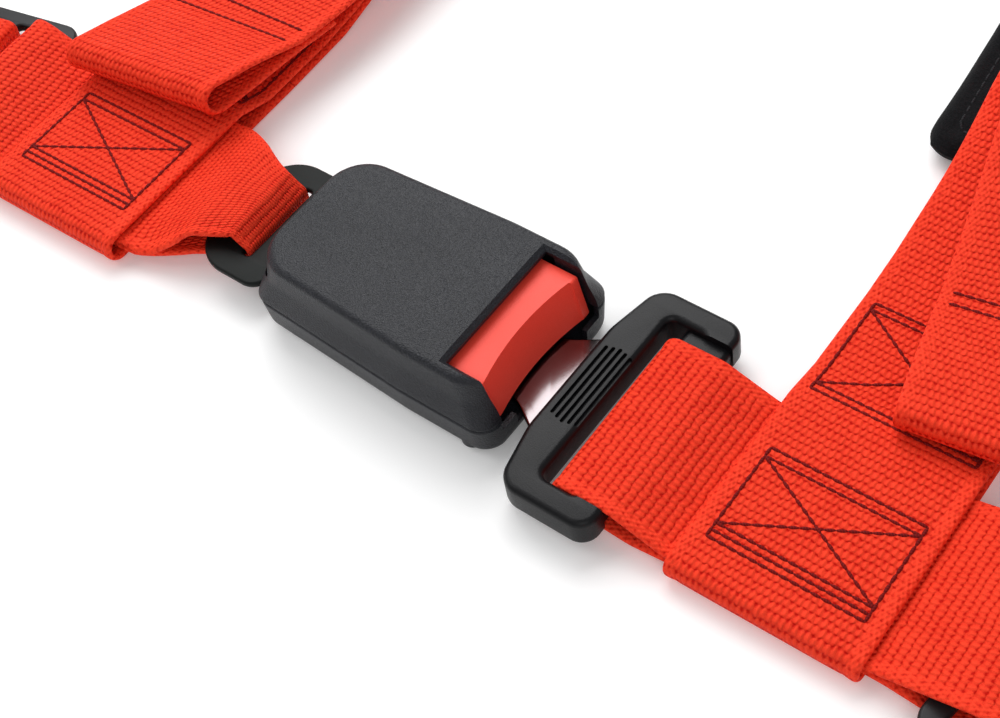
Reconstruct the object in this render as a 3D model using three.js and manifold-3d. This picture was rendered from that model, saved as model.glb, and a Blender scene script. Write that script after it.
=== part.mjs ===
// Four-point racing harness in 50 mm webbing, laid out flat and buckled up.
//
// Frame: +X runs from the buckle to its tongue, +Y up the shoulder straps, +Z away from the table.
// Everything is in millimetres. The harness is drawn about the front edge of the buckle's top cover
// and the exported group is shifted at the end, so that its box is centred on X and Y and stands on Z = 0.

import * as THREE from "three";
import Module from "manifold-3d";
import { mergeVertices } from "three/addons/utils/BufferGeometryUtils.js";

const wasm = await Module();
wasm.setup();

// ---------------------------------------------------------------- driving dimensions

const GAP = 0.3; // clearance between pieces that touch
const DEGREE = Math.PI / 180;

// Webbing
const WEB_WIDTH = 50;
const WEB_THICK = 1.6;
const WEB_HALF = WEB_THICK / 2;
const WEB_CLEAR = 0.4; // air between two layers, or between webbing and metal
const LAYER = WEB_THICK + WEB_CLEAR; // from one layer's middle to the next
const SOFT_BEND = 14; // bend radius of webbing that is not folded round anything

// Buckle housing, seen from above: a long box that widens towards its mouth
const HOUSING_REAR = -64;
const HOUSING_FRONT = 14.6;
const HOUSING_BASE = 0.3;
const HOUSING_TOP = 25.4;
const SEAM_Z = 11;
const WALL = 2.2;
const RECESS_HALF = 19.8; // half the width of the button's recess
const SCREW_PLACES = [
  ["rear_left", -56, 17.6],
  ["rear_right", -56, -17.6],
  ["front_left", 6.5, 22.4],
  ["front_right", 6.5, -22.4],
];

// Steel frame plate inside the housing
const FRAME_Z = 7.1;
const FRAME_THICK = 2;
const FRAME_BAR_EDGE = -75; // inner edge of the bar that the lap webbing turns round
const FRAME_REAR = -91;
const EAR_HALF = 20.5;
const FRAME_NECK_HALF = 14;
const FRAME_FRONT = 3;

// Tongue
const TONGUE_Z = 4.4;
const TONGUE_THICK = 2.4;
const BLADE_TIP = -26;
const BLADE_HALF = 10.5;
const MOUTH_HALF = 14.5; // half the width of the housing's mouth, which clears the tongue's flare
const GRIP_LEFT = 20;
const GRIP_RIGHT = 49;
const GRIP_HALF = 34;
const GRIP_SLOT_LEFT = 31;
const GRIP_BAR_LEFT = 35;
const GRIP_BAR_Z = 6.3;
const GRIP_BAR_HALF = 2.7; // half the height of the padded bar
const GRIP_SLOT_HALF = 27;

// Button
const BUTTON_HALF = 19.2;
const BUTTON_TOP = 21.6;
const PAWL_X = -11.5;

// Three-bar adjuster: u runs across the bars and starts at the middle of the front bar
const SLIDE_THICK = 3;
const SLIDE_HALF = 32.5;
const SLIDE_SLOT_HALF = 27.5;
const SLIDE = { frontBar: 3, middleBar: 18.5, slotTwo: 24.5, rearBar: 30.5, end: 38.5 };
const SLIDE_OVER = SLIDE_THICK / 2 + WEB_CLEAR + WEB_HALF; // from the plate's middle to webbing over it
const SLIDE_UP = 16.3; // where the webbing comes up through the first slot
const SLIDE_DOWN = 27.5; // where it goes down through the second slot

// Anchor tab: u starts at its hinge line, the middle of the bar that the webbing turns round
const TAB_THICK = 3;
const TAB_BAR_HALF = 4;
const TAB_SLOT_END = 17;
const TAB_BOLT_U = 46;
const TAB_BOLT_RADIUS = 5.75; // for a 7/16 inch anchor bolt
const TAB_END_RADIUS = 16;
const TAB_HALF = 32.5;
const TAB_LOOP = 5.8; // radius of the webbing's middle round the bar, wide enough to let the bar turn
const TAB_AXIS_Z = TAB_LOOP + WEB_HALF;

// The two junctions where a shoulder strap wraps a lap strap: centre, turn and stack of layers
const SIDES = {
  left: {
    centre: [-137.1, -2.9],
    lapTurn: 180 + 2.9,
    shoulderTurn: 90 + 1,
    layers: [0.8, 3.2, 5.6, 8.0],
    foldAt: -28,
    droop: 8,
    lean: -5,
  },
  right: {
    centre: [90.8, -1.3],
    lapTurn: 0.7,
    shoulderTurn: 90 + 0.7,
    layers: [0.8, 2.8, 4.8, 6.8],
    foldAt: -27,
    droop: -8,
    lean: 5,
  },
};

// Lap straps
const LAP_BAR = { left: [40.5, 5.4], right: [46, 5.4] }; // place of the adjuster's front bar in the end loop
const LAP_ANCHOR_U = 250;

// Shoulder straps
const SHOULDER_BAR = [160, 16.5]; // distance up the strap, and height, of the adjuster's front bar
const SHOULDER_ANCHOR_U = 430;
const PAD = { front: -50, length: 280, width: 76, thick: 8.5, corner: 6, bevel: 2.5 };
const PAD_TRAVEL_END = 275;
const KEEPERS = { lower: 95, upper: 205 };
const KEEPER_WIDTH = 25;

// ---------------------------------------------------------------- materials

const finish = (color, roughness, metalness) =>
  new THREE.MeshStandardMaterial({ color, roughness, metalness });

const RED_WEBBING = finish(0xe0301c, 0.85, 0);
const BLACK_WEBBING = finish(0x1a1a1c, 0.9, 0);
const PAD_FABRIC = finish(0x17171a, 0.95, 0);
const HOUSING_PLASTIC = finish(0x33353a, 0.5, 0);
const GRIP_PLASTIC = finish(0x2b2c30, 0.45, 0);
const BUTTON_PLASTIC = finish(0xe8402c, 0.3, 0);
const CHROME = finish(0xd8dadd, 0.08, 1);
const DARK_STEEL = finish(0x3c3f42, 0.4, 0.9);
const BLACK_STEEL = finish(0x1d1e20, 0.4, 0.8);
const SPRING_STEEL = finish(0x9a9da1, 0.3, 1);
const WHITE_PLASTIC = finish(0xd9d6cc, 0.5, 0);

// ---------------------------------------------------------------- solids

// A closed geometry as a solid that can be cut.
function solid(geometry) {
  const bare = geometry.index ? geometry.toNonIndexed() : geometry.clone();
  bare.deleteAttribute("normal");
  bare.deleteAttribute("uv");
  const merged = mergeVertices(bare, 1e-4);
  const vertProperties = merged.attributes.position.array;
  const triVerts = new Uint32Array(merged.index.array);
  return new wasm.Manifold(new wasm.Mesh({ numProp: 3, vertProperties, triVerts }));
}

// The way back from a solid to a geometry.
function surface(manifold) {
  const { vertProperties, triVerts } = manifold.getMesh();
  const geometry = new THREE.BufferGeometry();
  geometry.setAttribute("position", new THREE.BufferAttribute(vertProperties, 3));
  geometry.setIndex(new THREE.BufferAttribute(triVerts, 1));
  geometry.computeVertexNormals();
  return geometry;
}

// A box from its lowest to its highest corner.
function block([x0, y0, z0], [x1, y1, z1]) {
  const geometry = new THREE.BoxGeometry(x1 - x0, y1 - y0, z1 - z0);
  geometry.translate((x0 + x1) / 2, (y0 + y1) / 2, (z0 + z1) / 2);
  return solid(geometry);
}

// An upright round bar.
function rod(x, y, z0, z1, radius, sides = 16) {
  const geometry = new THREE.CylinderGeometry(radius, radius, z1 - z0, sides);
  geometry.rotateX(Math.PI / 2);
  geometry.translate(x, y, (z0 + z1) / 2);
  return solid(geometry);
}

// One corner of a line, rounded: an arc of equal steps that touches both legs.
function roundCorner(before, corner, after, radius, steps) {
  const toBefore = before.clone().sub(corner);
  const toAfter = after.clone().sub(corner);
  const room = Math.min(toBefore.length(), toAfter.length()) / 2;
  toBefore.normalize();
  toAfter.normalize();
  const between = Math.acos(THREE.MathUtils.clamp(toBefore.dot(toAfter), -1, 1));
  if (radius === 0 || between > Math.PI - 1e-4) {
    return [corner.clone()];
  }
  const reach = Math.min(radius / Math.tan(between / 2), room);
  const used = reach * Math.tan(between / 2);
  const middle = toBefore.clone().add(toAfter).normalize();
  const centre = corner.clone().addScaledVector(middle, used / Math.sin(between / 2));
  const start = corner.clone().addScaledVector(toBefore, reach).sub(centre);
  const side = Math.sign(toBefore.cross(toAfter));
  const sweep = -side * (Math.PI - between);
  const count = steps || Math.max(1, Math.ceil(Math.abs(sweep) / (22.5 * DEGREE)));
  return Array.from({ length: count + 1 }, (_, i) =>
    start.clone().rotateAround(new THREE.Vector2(), (sweep * i) / count).add(centre),
  );
}

// A line through [x, y, radius] points with its corners rounded, open or closed.
function roundedLine(points, { closed = false, steps = 0, radius = 0 } = {}) {
  const line = points.map(([x, y]) => new THREE.Vector2(x, y));
  const count = line.length;
  return line.flatMap((corner, i) => {
    if (!closed && (i === 0 || i === count - 1)) {
      return [corner];
    }
    const before = line[(i + count - 1) % count];
    const after = line[(i + 1) % count];
    return roundCorner(before, corner, after, points[i][2] ?? radius, steps);
  });
}

// A rounded outline as a shape, with holes.
function outline(points, holes = []) {
  const shape = new THREE.Shape(roundedLine(points, { closed: true }));
  shape.holes = holes.map((hole) => new THREE.Path(roundedLine(hole, { closed: true })));
  return shape;
}

// The corners of a rectangle with one radius, in the order that an outline takes.
const rectangle = (x0, y0, x1, y1, radius) => [
  [x0, y0, radius],
  [x1, y0, radius],
  [x1, y1, radius],
  [x0, y1, radius],
];

// A flat plate between two heights, with its edges eased by a small bevel.
function plate(shape, z0, z1, bevel = 0) {
  const geometry = new THREE.ExtrudeGeometry(shape, {
    depth: z1 - z0 - 2 * bevel,
    bevelEnabled: bevel > 0,
    bevelThickness: bevel,
    bevelSize: bevel,
    bevelOffset: -bevel,
    bevelSegments: 1,
    steps: 1,
    curveSegments: 8,
  });
  geometry.translate(0, 0, z0 + bevel);
  return solid(geometry);
}

// A shape drawn in X and Z, carried across from -half to +half in Y.
function bar(shape, half) {
  const geometry = new THREE.ExtrudeGeometry(shape, { depth: 2 * half, bevelEnabled: false, steps: 1 });
  geometry.rotateX(Math.PI / 2);
  geometry.translate(0, half, 0);
  return solid(geometry);
}

// A solid through a stack of outlines that all have the same number of points.
function loft(levels) {
  const count = levels[0].line.length;
  const positions = levels.flatMap(({ line, z }) => line.flatMap((p) => [p.x, p.y, z]));
  const faces = [];
  for (let level = 0; level + 1 < levels.length; level += 1) {
    for (let i = 0; i < count; i += 1) {
      const a = level * count + i;
      const b = level * count + ((i + 1) % count);
      faces.push(a, b, b + count, a, b + count, a + count);
    }
  }
  const last = (levels.length - 1) * count;
  THREE.ShapeUtils.triangulateShape(levels[0].line, []).forEach(([a, b, c]) => {
    faces.push(a, c, b);
  });
  THREE.ShapeUtils.triangulateShape(levels[levels.length - 1].line, []).forEach(([a, b, c]) => {
    faces.push(last + a, last + b, last + c);
  });
  const geometry = new THREE.BufferGeometry();
  geometry.setAttribute("position", new THREE.Float32BufferAttribute(positions, 3));
  geometry.setIndex(faces);
  return solid(geometry);
}

// A helical compression spring along X.
function coil({ from, to, y, z, radius, wire, turns }) {
  const count = turns * 8;
  const points = Array.from({ length: count + 1 }, (_, i) => {
    const angle = (2 * Math.PI * turns * i) / count;
    const x = from + wire + ((to - from - 2 * wire) * i) / count;
    return new THREE.Vector3(x, y + radius * Math.cos(angle), z + radius * Math.sin(angle));
  });
  const section = new THREE.Shape(
    Array.from({ length: 5 }, (_, i) =>
      new THREE.Vector2(wire, 0).rotateAround(new THREE.Vector2(), (i * 2 * Math.PI) / 5),
    ),
  );
  return new THREE.ExtrudeGeometry(section, {
    steps: count,
    bevelEnabled: false,
    extrudePath: new THREE.CatmullRomCurve3(points),
  });
}

// ---------------------------------------------------------------- webbing

// A course over the table: it is straight along u as far as `start`, and its heading in degrees follows
// [distance, heading] knots with straight lines between them. It gives the place and heading at a distance.
function course(start = 0, knots = [[0, 0]]) {
  const headingAt = (s) => {
    const next = knots.findIndex(([at]) => at > s);
    if (next === 0) {
      return knots[0][1] * DEGREE;
    }
    if (next < 0) {
      return knots[knots.length - 1][1] * DEGREE;
    }
    const [s0, h0] = knots[next - 1];
    const [s1, h1] = knots[next];
    return THREE.MathUtils.mapLinear(s, s0, s1, h0, h1) * DEGREE;
  };
  return (s) => {
    const steps = Math.max(1, Math.ceil(Math.abs(s - start) / 2));
    const step = (s - start) / steps;
    const place = new THREE.Vector2(start, 0);
    for (let i = 0; i < steps; i += 1) {
      const heading = headingAt(start + (i + 0.5) * step);
      place.x += Math.cos(heading) * step;
      place.y += Math.sin(heading) * step;
    }
    return { x: place.x, y: place.y, heading: headingAt(s) };
  };
}

// A band of webbing. `route` holds the [distance, height, radius] corners of its middle line, seen from the
// side; `over` is its course over the table, and `width` its width at a distance.
function webbing(route, { over = course(), width = () => WEB_WIDTH, thick = WEB_THICK } = {}) {
  const line = roundedLine(route, { radius: SOFT_BEND });
  const positions = [];
  line.forEach((point, i) => {
    const before = line[Math.max(i - 1, 0)];
    const after = line[Math.min(i + 1, line.length - 1)];
    const along = after.clone().sub(before).normalize();
    const { x, y, heading } = over(point.x);
    const forward = new THREE.Vector2(Math.cos(heading), Math.sin(heading));
    const half = width(point.x) / 2;
    const across = new THREE.Vector3(-forward.y * half, forward.x * half, 0);
    const up = new THREE.Vector3(-along.y * forward.x, -along.y * forward.y, along.x);
    up.multiplyScalar(thick / 2);
    const middle = new THREE.Vector3(x, y, point.y);
    const corners = [
      [1, 1],
      [1, -1],
      [-1, -1],
      [-1, 1],
    ];
    corners.forEach(([height, side]) => {
      const corner = middle.clone().addScaledVector(up, height).addScaledVector(across, side);
      positions.push(...corner.toArray());
    });
  });
  const faces = [0, 2, 1, 0, 3, 2];
  for (let i = 0; i + 1 < line.length; i += 1) {
    for (let side = 0; side < 4; side += 1) {
      const a = 4 * i + side;
      const b = 4 * i + ((side + 1) % 4);
      faces.push(a, b, b + 4, a, b + 4, a + 4);
    }
  }
  const end = 4 * (line.length - 1);
  faces.push(end, end + 1, end + 2, end, end + 2, end + 3);
  const geometry = new THREE.BufferGeometry();
  geometry.setAttribute("position", new THREE.Float32BufferAttribute(positions, 3));
  geometry.setIndex(faces);
  geometry.computeVertexNormals();
  return geometry;
}

// The stretch that turns round an anchor tab's bar at distance u and is sewn back onto itself.
const anchorLoop = (u) => [
  [u + TAB_LOOP, WEB_HALF, TAB_LOOP],
  [u + TAB_LOOP, TAB_AXIS_Z + TAB_LOOP, TAB_LOOP],
  [u - 8, TAB_AXIS_Z + TAB_LOOP],
  [u - 42, WEB_HALF + LAYER],
  [u - 78, WEB_HALF + LAYER],
];

// The stretch that threads a three-bar adjuster whose plate's middle is at height z: up through the first
// slot, under the middle bar, up through the second slot and out over the rear bar.
const throughSlide = (z) => [
  [SLIDE_UP, z + SLIDE_OVER + LAYER + 0.2, 1.8],
  [SLIDE_UP, z - SLIDE_OVER, 1.8],
  [SLIDE_DOWN, z - SLIDE_OVER, 1.8],
  [SLIDE_DOWN, z + SLIDE_OVER, 1.8],
  [SLIDE.end + 2, z + SLIDE_OVER, 8],
];

// ---------------------------------------------------------------- meshes and groups

function piece(name, shape, material) {
  const geometry = shape.isBufferGeometry ? shape : surface(shape);
  const mesh = new THREE.Mesh(geometry, material);
  mesh.name = name;
  return mesh;
}

// A group at a place on the table, turned by an angle in degrees.
function groupAt([x, y], turn, children) {
  const group = new THREE.Group();
  group.position.set(x, y, 0);
  group.rotation.z = turn * DEGREE;
  group.add(...children);
  return group;
}

// ---------------------------------------------------------------- buckle

// The housing's outline at one height: rear and front ends, half-widths at each, and corner radii.
function housingLine({ rear, front, rearHalf, frontHalf, rearRadius, frontRadius }, inset = 0) {
  const line = roundedLine(
    [
      [rear + inset, -rearHalf + inset, rearRadius],
      [-12, -frontHalf + inset, 30],
      [front - inset, -frontHalf + inset, frontRadius],
      [front - inset, frontHalf - inset, frontRadius],
      [-12, frontHalf - inset, 30],
      [rear + inset, rearHalf - inset, rearRadius],
    ],
    { closed: true, steps: 5 },
  );
  return line;
}

const SEAM_OUTLINE = {
  rear: HOUSING_REAR,
  front: HOUSING_FRONT,
  rearHalf: 23.4,
  frontHalf: 26.2,
  rearRadius: 6,
  frontRadius: 5,
};

// The same outline drawn in by some amount, with rounder corners.
const drawnIn = (by, rearRadius, frontRadius) => ({
  rear: SEAM_OUTLINE.rear + by * 0.6,
  front: SEAM_OUTLINE.front - by * 0.6,
  rearHalf: SEAM_OUTLINE.rearHalf - by,
  frontHalf: SEAM_OUTLINE.frontHalf - by,
  rearRadius,
  frontRadius,
});

function upperCover() {
  const low = SEAM_Z + GAP;
  const outside = loft([
    { line: housingLine(SEAM_OUTLINE), z: low },
    { line: housingLine(drawnIn(0.3, 7, 6)), z: 16 },
    { line: housingLine(drawnIn(0.9, 9, 7)), z: 20 },
    { line: housingLine(drawnIn(1.7, 10, 8)), z: 22.5 },
    { line: housingLine(drawnIn(3.6, 10, 8)), z: 24.6 },
    { line: housingLine(drawnIn(6, 9, 7)), z: HOUSING_TOP },
  ]);
  const cavityEnd = { ...SEAM_OUTLINE, front: 2.5, frontRadius: 0.5 };
  const inside = loft([
    { line: housingLine(cavityEnd, WALL), z: SEAM_Z - 1 },
    { line: housingLine({ ...cavityEnd, rearHalf: 22, frontHalf: 24.6 }, WALL), z: 19 },
    { line: housingLine({ ...cavityEnd, rearHalf: 19, frontHalf: 21.9 }, WALL), z: HOUSING_TOP - WALL },
  ]);
  const recess = block([0, -RECESS_HALF, 0], [HOUSING_FRONT + 5, RECESS_HALF, HOUSING_TOP + 5]);
  let cover = outside.subtract(inside).subtract(recess);
  [-1, 1].forEach((side) => {
    const seat = block([-33.2, side * 17.5 - 2.6, 12.2], [-30.7, side * 17.5 + 2.6, HOUSING_TOP - WALL + 0.5]);
    cover = cover.add(seat);
  });
  SCREW_PLACES.forEach(([, x, y]) => {
    if (x < 0) {
      cover = cover.add(rod(x, y, low, HOUSING_TOP - WALL, 3.2));
    }
  });
  SCREW_PLACES.forEach(([, x, y]) => {
    cover = cover.subtract(rod(x, y, 0, 17, 1.5, 12));
  });
  return cover;
}

function lowerCover() {
  const foot = { ...drawnIn(2.6, 5, 6), rear: HOUSING_REAR + 2, front: HOUSING_FRONT - 2.4 };
  const outside = loft([
    { line: housingLine(foot), z: HOUSING_BASE },
    { line: housingLine(drawnIn(0.8, 6, 5)), z: HOUSING_BASE + 2 },
    { line: housingLine(SEAM_OUTLINE), z: SEAM_Z },
  ]);
  const inside = loft([
    { line: housingLine(SEAM_OUTLINE, WALL + 1), z: HOUSING_BASE + WALL },
    { line: housingLine(SEAM_OUTLINE, WALL), z: SEAM_Z + 1 },
  ]);
  let cover = outside.subtract(inside);
  SCREW_PLACES.forEach(([, x, y]) => {
    cover = cover.add(rod(x, y, HOUSING_BASE + 1, SEAM_Z, 3.2));
  });
  SCREW_PLACES.forEach(([, x, y]) => {
    cover = cover.subtract(rod(x, y, 0, SEAM_Z + 1, 1.5, 12));
    cover = cover.subtract(rod(x, y, 0, HOUSING_BASE + 2, 2.9, 16));
  });
  const frameSlot = block(
    [HOUSING_REAR - 2, -FRAME_NECK_HALF - GAP, FRAME_Z - GAP],
    [HOUSING_REAR + WALL + 2, FRAME_NECK_HALF + GAP, FRAME_Z + FRAME_THICK + GAP],
  );
  const mouth = block([9, -MOUTH_HALF, TONGUE_Z - 0.6], [HOUSING_FRONT + 2, MOUTH_HALF, SEAM_Z + 1]);
  const buttonRoom = block([9, -RECESS_HALF, 7.6], [HOUSING_FRONT + 2, RECESS_HALF, SEAM_Z + 1]);
  return cover.subtract(frameSlot).subtract(mouth).subtract(buttonRoom);
}

function buckleFrame() {
  const top = FRAME_Z + FRAME_THICK;
  const plan = outline(
    [
      [FRAME_FRONT, -FRAME_NECK_HALF, 1.5],
      [FRAME_FRONT, FRAME_NECK_HALF, 1.5],
      [HOUSING_REAR - 0.6, FRAME_NECK_HALF, 1],
      [HOUSING_REAR - 3.5, EAR_HALF, 5],
      [FRAME_REAR, EAR_HALF, 13],
      [FRAME_REAR, -EAR_HALF, 13],
      [HOUSING_REAR - 3.5, -EAR_HALF, 5],
      [HOUSING_REAR - 0.6, -FRAME_NECK_HALF, 1],
    ],
    [rectangle(FRAME_BAR_EDGE, -15.5, FRAME_BAR_EDGE + 8.5, 15.5, 2.5), rectangle(-15.5, -6, -8, 6, 1)],
  );
  let frame = plate(plan, FRAME_Z, top);
  [-1, 1].forEach((side) => {
    const near = side * (BLADE_HALF + 0.7);
    const far = side * (BLADE_HALF + 2.7);
    const flange = block([-34, Math.min(near, far), 3.2], [FRAME_FRONT, Math.max(near, far), FRAME_Z + 0.5]);
    frame = frame.add(flange);
    frame = frame.subtract(rod(-48, side * 7, FRAME_Z - 1, top + 1, 1.9, 12));
  });
  return frame;
}

// A leaf of spring steel, riveted down behind and turned down in front into the pawl that holds the tongue.
function latchBlade() {
  const route = [
    [-54, 9.9, 0],
    [-42, 9.9, 4],
    [-26, 13.6, 4],
    [PAWL_X, 13.6, 1.4],
    [PAWL_X, 4.9, 0],
  ];
  let blade = solid(webbing(route, { width: () => 24, thick: 1.0 }));
  [-1, 1].forEach((side) => {
    const cut = block(
      [PAWL_X - 1, Math.min(side * 4.5, side * 20), 0],
      [PAWL_X + 1, Math.max(side * 4.5, side * 20), 13.05],
    );
    blade = blade.subtract(cut).subtract(rod(-48, side * 7, 5, 15, 1.9, 12));
  });
  return blade;
}

function latchRivet(y) {
  const low = FRAME_Z - GAP;
  const high = 10.4 + GAP;
  return rod(-48, y, low - 1, high + 1, 1.6, 12).add(rod(-48, y, low - 1.2, low, 3)).add(rod(-48, y, high, high + 1.2, 3));
}

function releaseButton() {
  const side = outline([
    [-14, 12.6, 0],
    [7.4, 12.6, 0],
    [9.2, 8.4, 0],
    [12.4, 8.4, 0.6],
    [9.8, BUTTON_TOP, 0.8],
    [-14, BUTTON_TOP, 1],
  ]);
  const inside = block([-20, -BUTTON_HALF + 2.2, 12], [6.2, BUTTON_HALF - 2.2, BUTTON_TOP - 1.8]);
  const dish = new THREE.CylinderGeometry(74, 74, 60, 144);
  dish.rotateX(Math.PI / 2);
  dish.translate(74, 0, 0);
  dish.rotateY(-11.1 * DEGREE);
  dish.translate(8.6, 0, 15);
  let button = bar(side, BUTTON_HALF).subtract(inside).subtract(solid(dish));
  [-1, 1].forEach((hand) => {
    const wedge = outline([
      [-24.5, 10.2, 0],
      [7.6, 10.2, 0],
      [7.6, 12.4, 0],
      [-18, 12.2, 0],
      [-24.5, 10.8, 0],
    ]);
    button = button.add(bar(wedge, 1.6).translate([0, hand * 8.5, 0]));
  });
  return button;
}

function ejector() {
  const body = block([-35, -8, 3.4], [-26.4, 8, 6.8]);
  return body.add(block([-37, -1, 4], [-35, 1, 5.4]));
}

function coverScrew(x, y) {
  const head = rod(x, y, HOUSING_BASE + 0.2, HOUSING_BASE + 2 - GAP, 2.6);
  const slot = block([x - 3, y - 0.4, 0], [x + 3, y + 0.4, HOUSING_BASE + 0.9]);
  return head.add(rod(x, y, HOUSING_BASE + 1, 15.5, 1.2, 12)).subtract(slot);
}

function buckle() {
  return [
    piece("upper_cover", upperCover(), HOUSING_PLASTIC),
    piece("lower_cover", lowerCover(), HOUSING_PLASTIC),
    piece("buckle_frame", buckleFrame(), DARK_STEEL),
    piece("latch_blade", latchBlade(), SPRING_STEEL),
    piece("latch_rivet_left", latchRivet(7), SPRING_STEEL),
    piece("latch_rivet_right", latchRivet(-7), SPRING_STEEL),
    piece("release_button", releaseButton(), BUTTON_PLASTIC),
    piece("ejector", ejector(), WHITE_PLASTIC),
    piece(
      "ejector_spring",
      coil({ from: -59.5, to: -37.4, y: 0, z: 4.7, radius: 1.7, wire: 0.4, turns: 7 }),
      SPRING_STEEL,
    ),
    ...[
      ["button_spring_left", 17.5],
      ["button_spring_right", -17.5],
    ].map(([name, y]) =>
      piece(name, coil({ from: -30.4, to: -14.3, y, z: 16, radius: 1.8, wire: 0.35, turns: 6 }), SPRING_STEEL),
    ),
    ...SCREW_PLACES.map(([name, x, y]) => piece(`cover_screw_${name}`, coverScrew(x, y), DARK_STEEL)),
  ];
}

// ---------------------------------------------------------------- tongue

// The steel tongue, grown by some amount on every face when it is used to cut its own pocket.
function tongueSteel(grow = 0) {
  const half = BLADE_HALF + grow;
  const flare = 16 + grow;
  const edge = 30 + grow;
  const end = 47 + grow;
  const plan = outline(
    [
      [BLADE_TIP - grow, -half, 3],
      [11, -half, 8],
      [19, -flare, 6],
      [24.5 - grow, -flare, 1],
      [24.5 - grow, -edge, 1.5],
      [end, -edge, 1.5],
      [end, edge, 1.5],
      [24.5 - grow, edge, 1.5],
      [24.5 - grow, flare, 1],
      [19, flare, 6],
      [11, half, 8],
      [BLADE_TIP - grow, half, 3],
    ],
    [
      rectangle(29 + grow, -28 + grow, 37 - grow, 28 - grow, 1),
      rectangle(-18, -5.5, PAWL_X + 1.1, 5.5, 1),
    ],
  );
  return plate(plan, TONGUE_Z - grow, TONGUE_Z + TONGUE_THICK + grow, grow ? 0 : 0.4);
}

function tongueGrip() {
  const plan = outline(
    [
      [GRIP_LEFT, -17, 14],
      [GRIP_LEFT + 3.2, -GRIP_HALF, 6],
      [GRIP_RIGHT, -GRIP_HALF, 4.5],
      [GRIP_RIGHT, GRIP_HALF, 4.5],
      [GRIP_LEFT + 3.2, GRIP_HALF, 6],
      [GRIP_LEFT, 17, 14],
    ],
    [rectangle(GRIP_SLOT_LEFT, -GRIP_SLOT_HALF, GRIP_RIGHT - 7, GRIP_SLOT_HALF, 1.5)],
  );
  const opening = block([GRIP_RIGHT - 9, -GRIP_SLOT_HALF, 0], [GRIP_RIGHT + 1, GRIP_SLOT_HALF, 20]);
  const low = GRIP_BAR_Z - GRIP_BAR_HALF;
  const high = GRIP_BAR_Z + GRIP_BAR_HALF;
  const section = outline([
    [GRIP_BAR_LEFT, low, GRIP_BAR_HALF],
    [GRIP_RIGHT - 0.5, low, 1.5],
    [GRIP_RIGHT - 0.5, high, 1.5],
    [GRIP_BAR_LEFT, high, GRIP_BAR_HALF],
  ]);
  let grip = plate(plan, 2.4, 11.4, 1.2).subtract(opening).add(bar(section, GRIP_SLOT_HALF + 2));
  for (let i = 0; i < 4; i += 1) {
    const x = 23.2 + i * 1.9;
    grip = grip.subtract(block([x, -12, 10.5], [x + 0.9, 12, 14]));
  }
  return grip.subtract(tongueSteel(GAP)).subtract(
    block([GRIP_LEFT - 2, -16 - GAP, TONGUE_Z - GAP], [26, 16 + GAP, TONGUE_Z + TONGUE_THICK + GAP]),
  );
}

const tongue = () => [
  piece("tongue_plate", tongueSteel(), CHROME),
  piece("tongue_grip", tongueGrip(), GRIP_PLASTIC),
];

// ---------------------------------------------------------------- adjusters, tabs and pads

// A pressed steel frame with three bars, its plate's middle at height z.
function slide(z) {
  const frame = outline(
    rectangle(-SLIDE.frontBar, -SLIDE_HALF, SLIDE.end, SLIDE_HALF, 6),
    [
      rectangle(SLIDE.frontBar, -SLIDE_SLOT_HALF, SLIDE.middleBar, SLIDE_SLOT_HALF, 2),
      rectangle(SLIDE.slotTwo, -SLIDE_SLOT_HALF, SLIDE.rearBar, SLIDE_SLOT_HALF, 2),
    ],
  );
  return plate(frame, z - SLIDE_THICK / 2, z + SLIDE_THICK / 2, 0.6);
}

// A cranked steel tab: a slot for the webbing, a step down, and a flat end with the bolt hole.
function anchorTab() {
  const half = TAB_THICK / 2;
  const high = TAB_AXIS_Z;
  const profile = solid(
    webbing(
      [
        [-TAB_BAR_HALF, high, 0],
        [TAB_SLOT_END + 2, high, 4],
        [TAB_SLOT_END + 9, half, 4],
        [TAB_BOLT_U + TAB_END_RADIUS, half, 0],
      ],
      { width: () => 2 * TAB_HALF, thick: TAB_THICK },
    ),
  );
  const end = TAB_BOLT_U + TAB_END_RADIUS;
  const plan = outline(
    [
      [-TAB_BAR_HALF, -TAB_HALF, 5],
      [TAB_SLOT_END + 3, -TAB_HALF, 8],
      [TAB_BOLT_U - 4, -TAB_END_RADIUS, 12],
      [end, -TAB_END_RADIUS, TAB_END_RADIUS],
      [end, TAB_END_RADIUS, TAB_END_RADIUS],
      [TAB_BOLT_U - 4, TAB_END_RADIUS, 12],
      [TAB_SLOT_END + 3, TAB_HALF, 8],
      [-TAB_BAR_HALF, TAB_HALF, 5],
    ],
    [rectangle(TAB_BAR_HALF, -SLIDE_SLOT_HALF, TAB_SLOT_END, SLIDE_SLOT_HALF, 2)],
  );
  return profile
    .intersect(plate(plan, -1, 20))
    .subtract(rod(TAB_BOLT_U, 0, -1, 20, TAB_BOLT_RADIUS, 24));
}

function shoulderPad() {
  const end = PAD.front + PAD.length;
  const plan = outline(rectangle(PAD.front, -PAD.width / 2, end, PAD.width / 2, PAD.corner));
  return plate(plan, 0, PAD.thick, PAD.bevel);
}

// A band sewn to the pad's two sides, which keeps the strap on the pad.
function padKeeper(u) {
  const rest = PAD.thick + WEB_CLEAR + WEB_HALF;
  const raised = rest + LAYER + WEB_CLEAR;
  const route = [
    [-36, rest, 0],
    [-29, rest, 1.5],
    [-27.2, raised, 1.5],
    [27.2, raised, 1.5],
    [29, rest, 1.5],
    [36, rest, 0],
  ];
  const geometry = webbing(route, { width: () => KEEPER_WIDTH });
  geometry.rotateZ(Math.PI / 2);
  geometry.translate(u, 0, 0);
  return geometry;
}

const anchorAt = (name, u) => groupAt([u, 0], 0, [piece(name, anchorTab(), BLACK_STEEL)]);

// ---------------------------------------------------------------- lap straps

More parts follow.
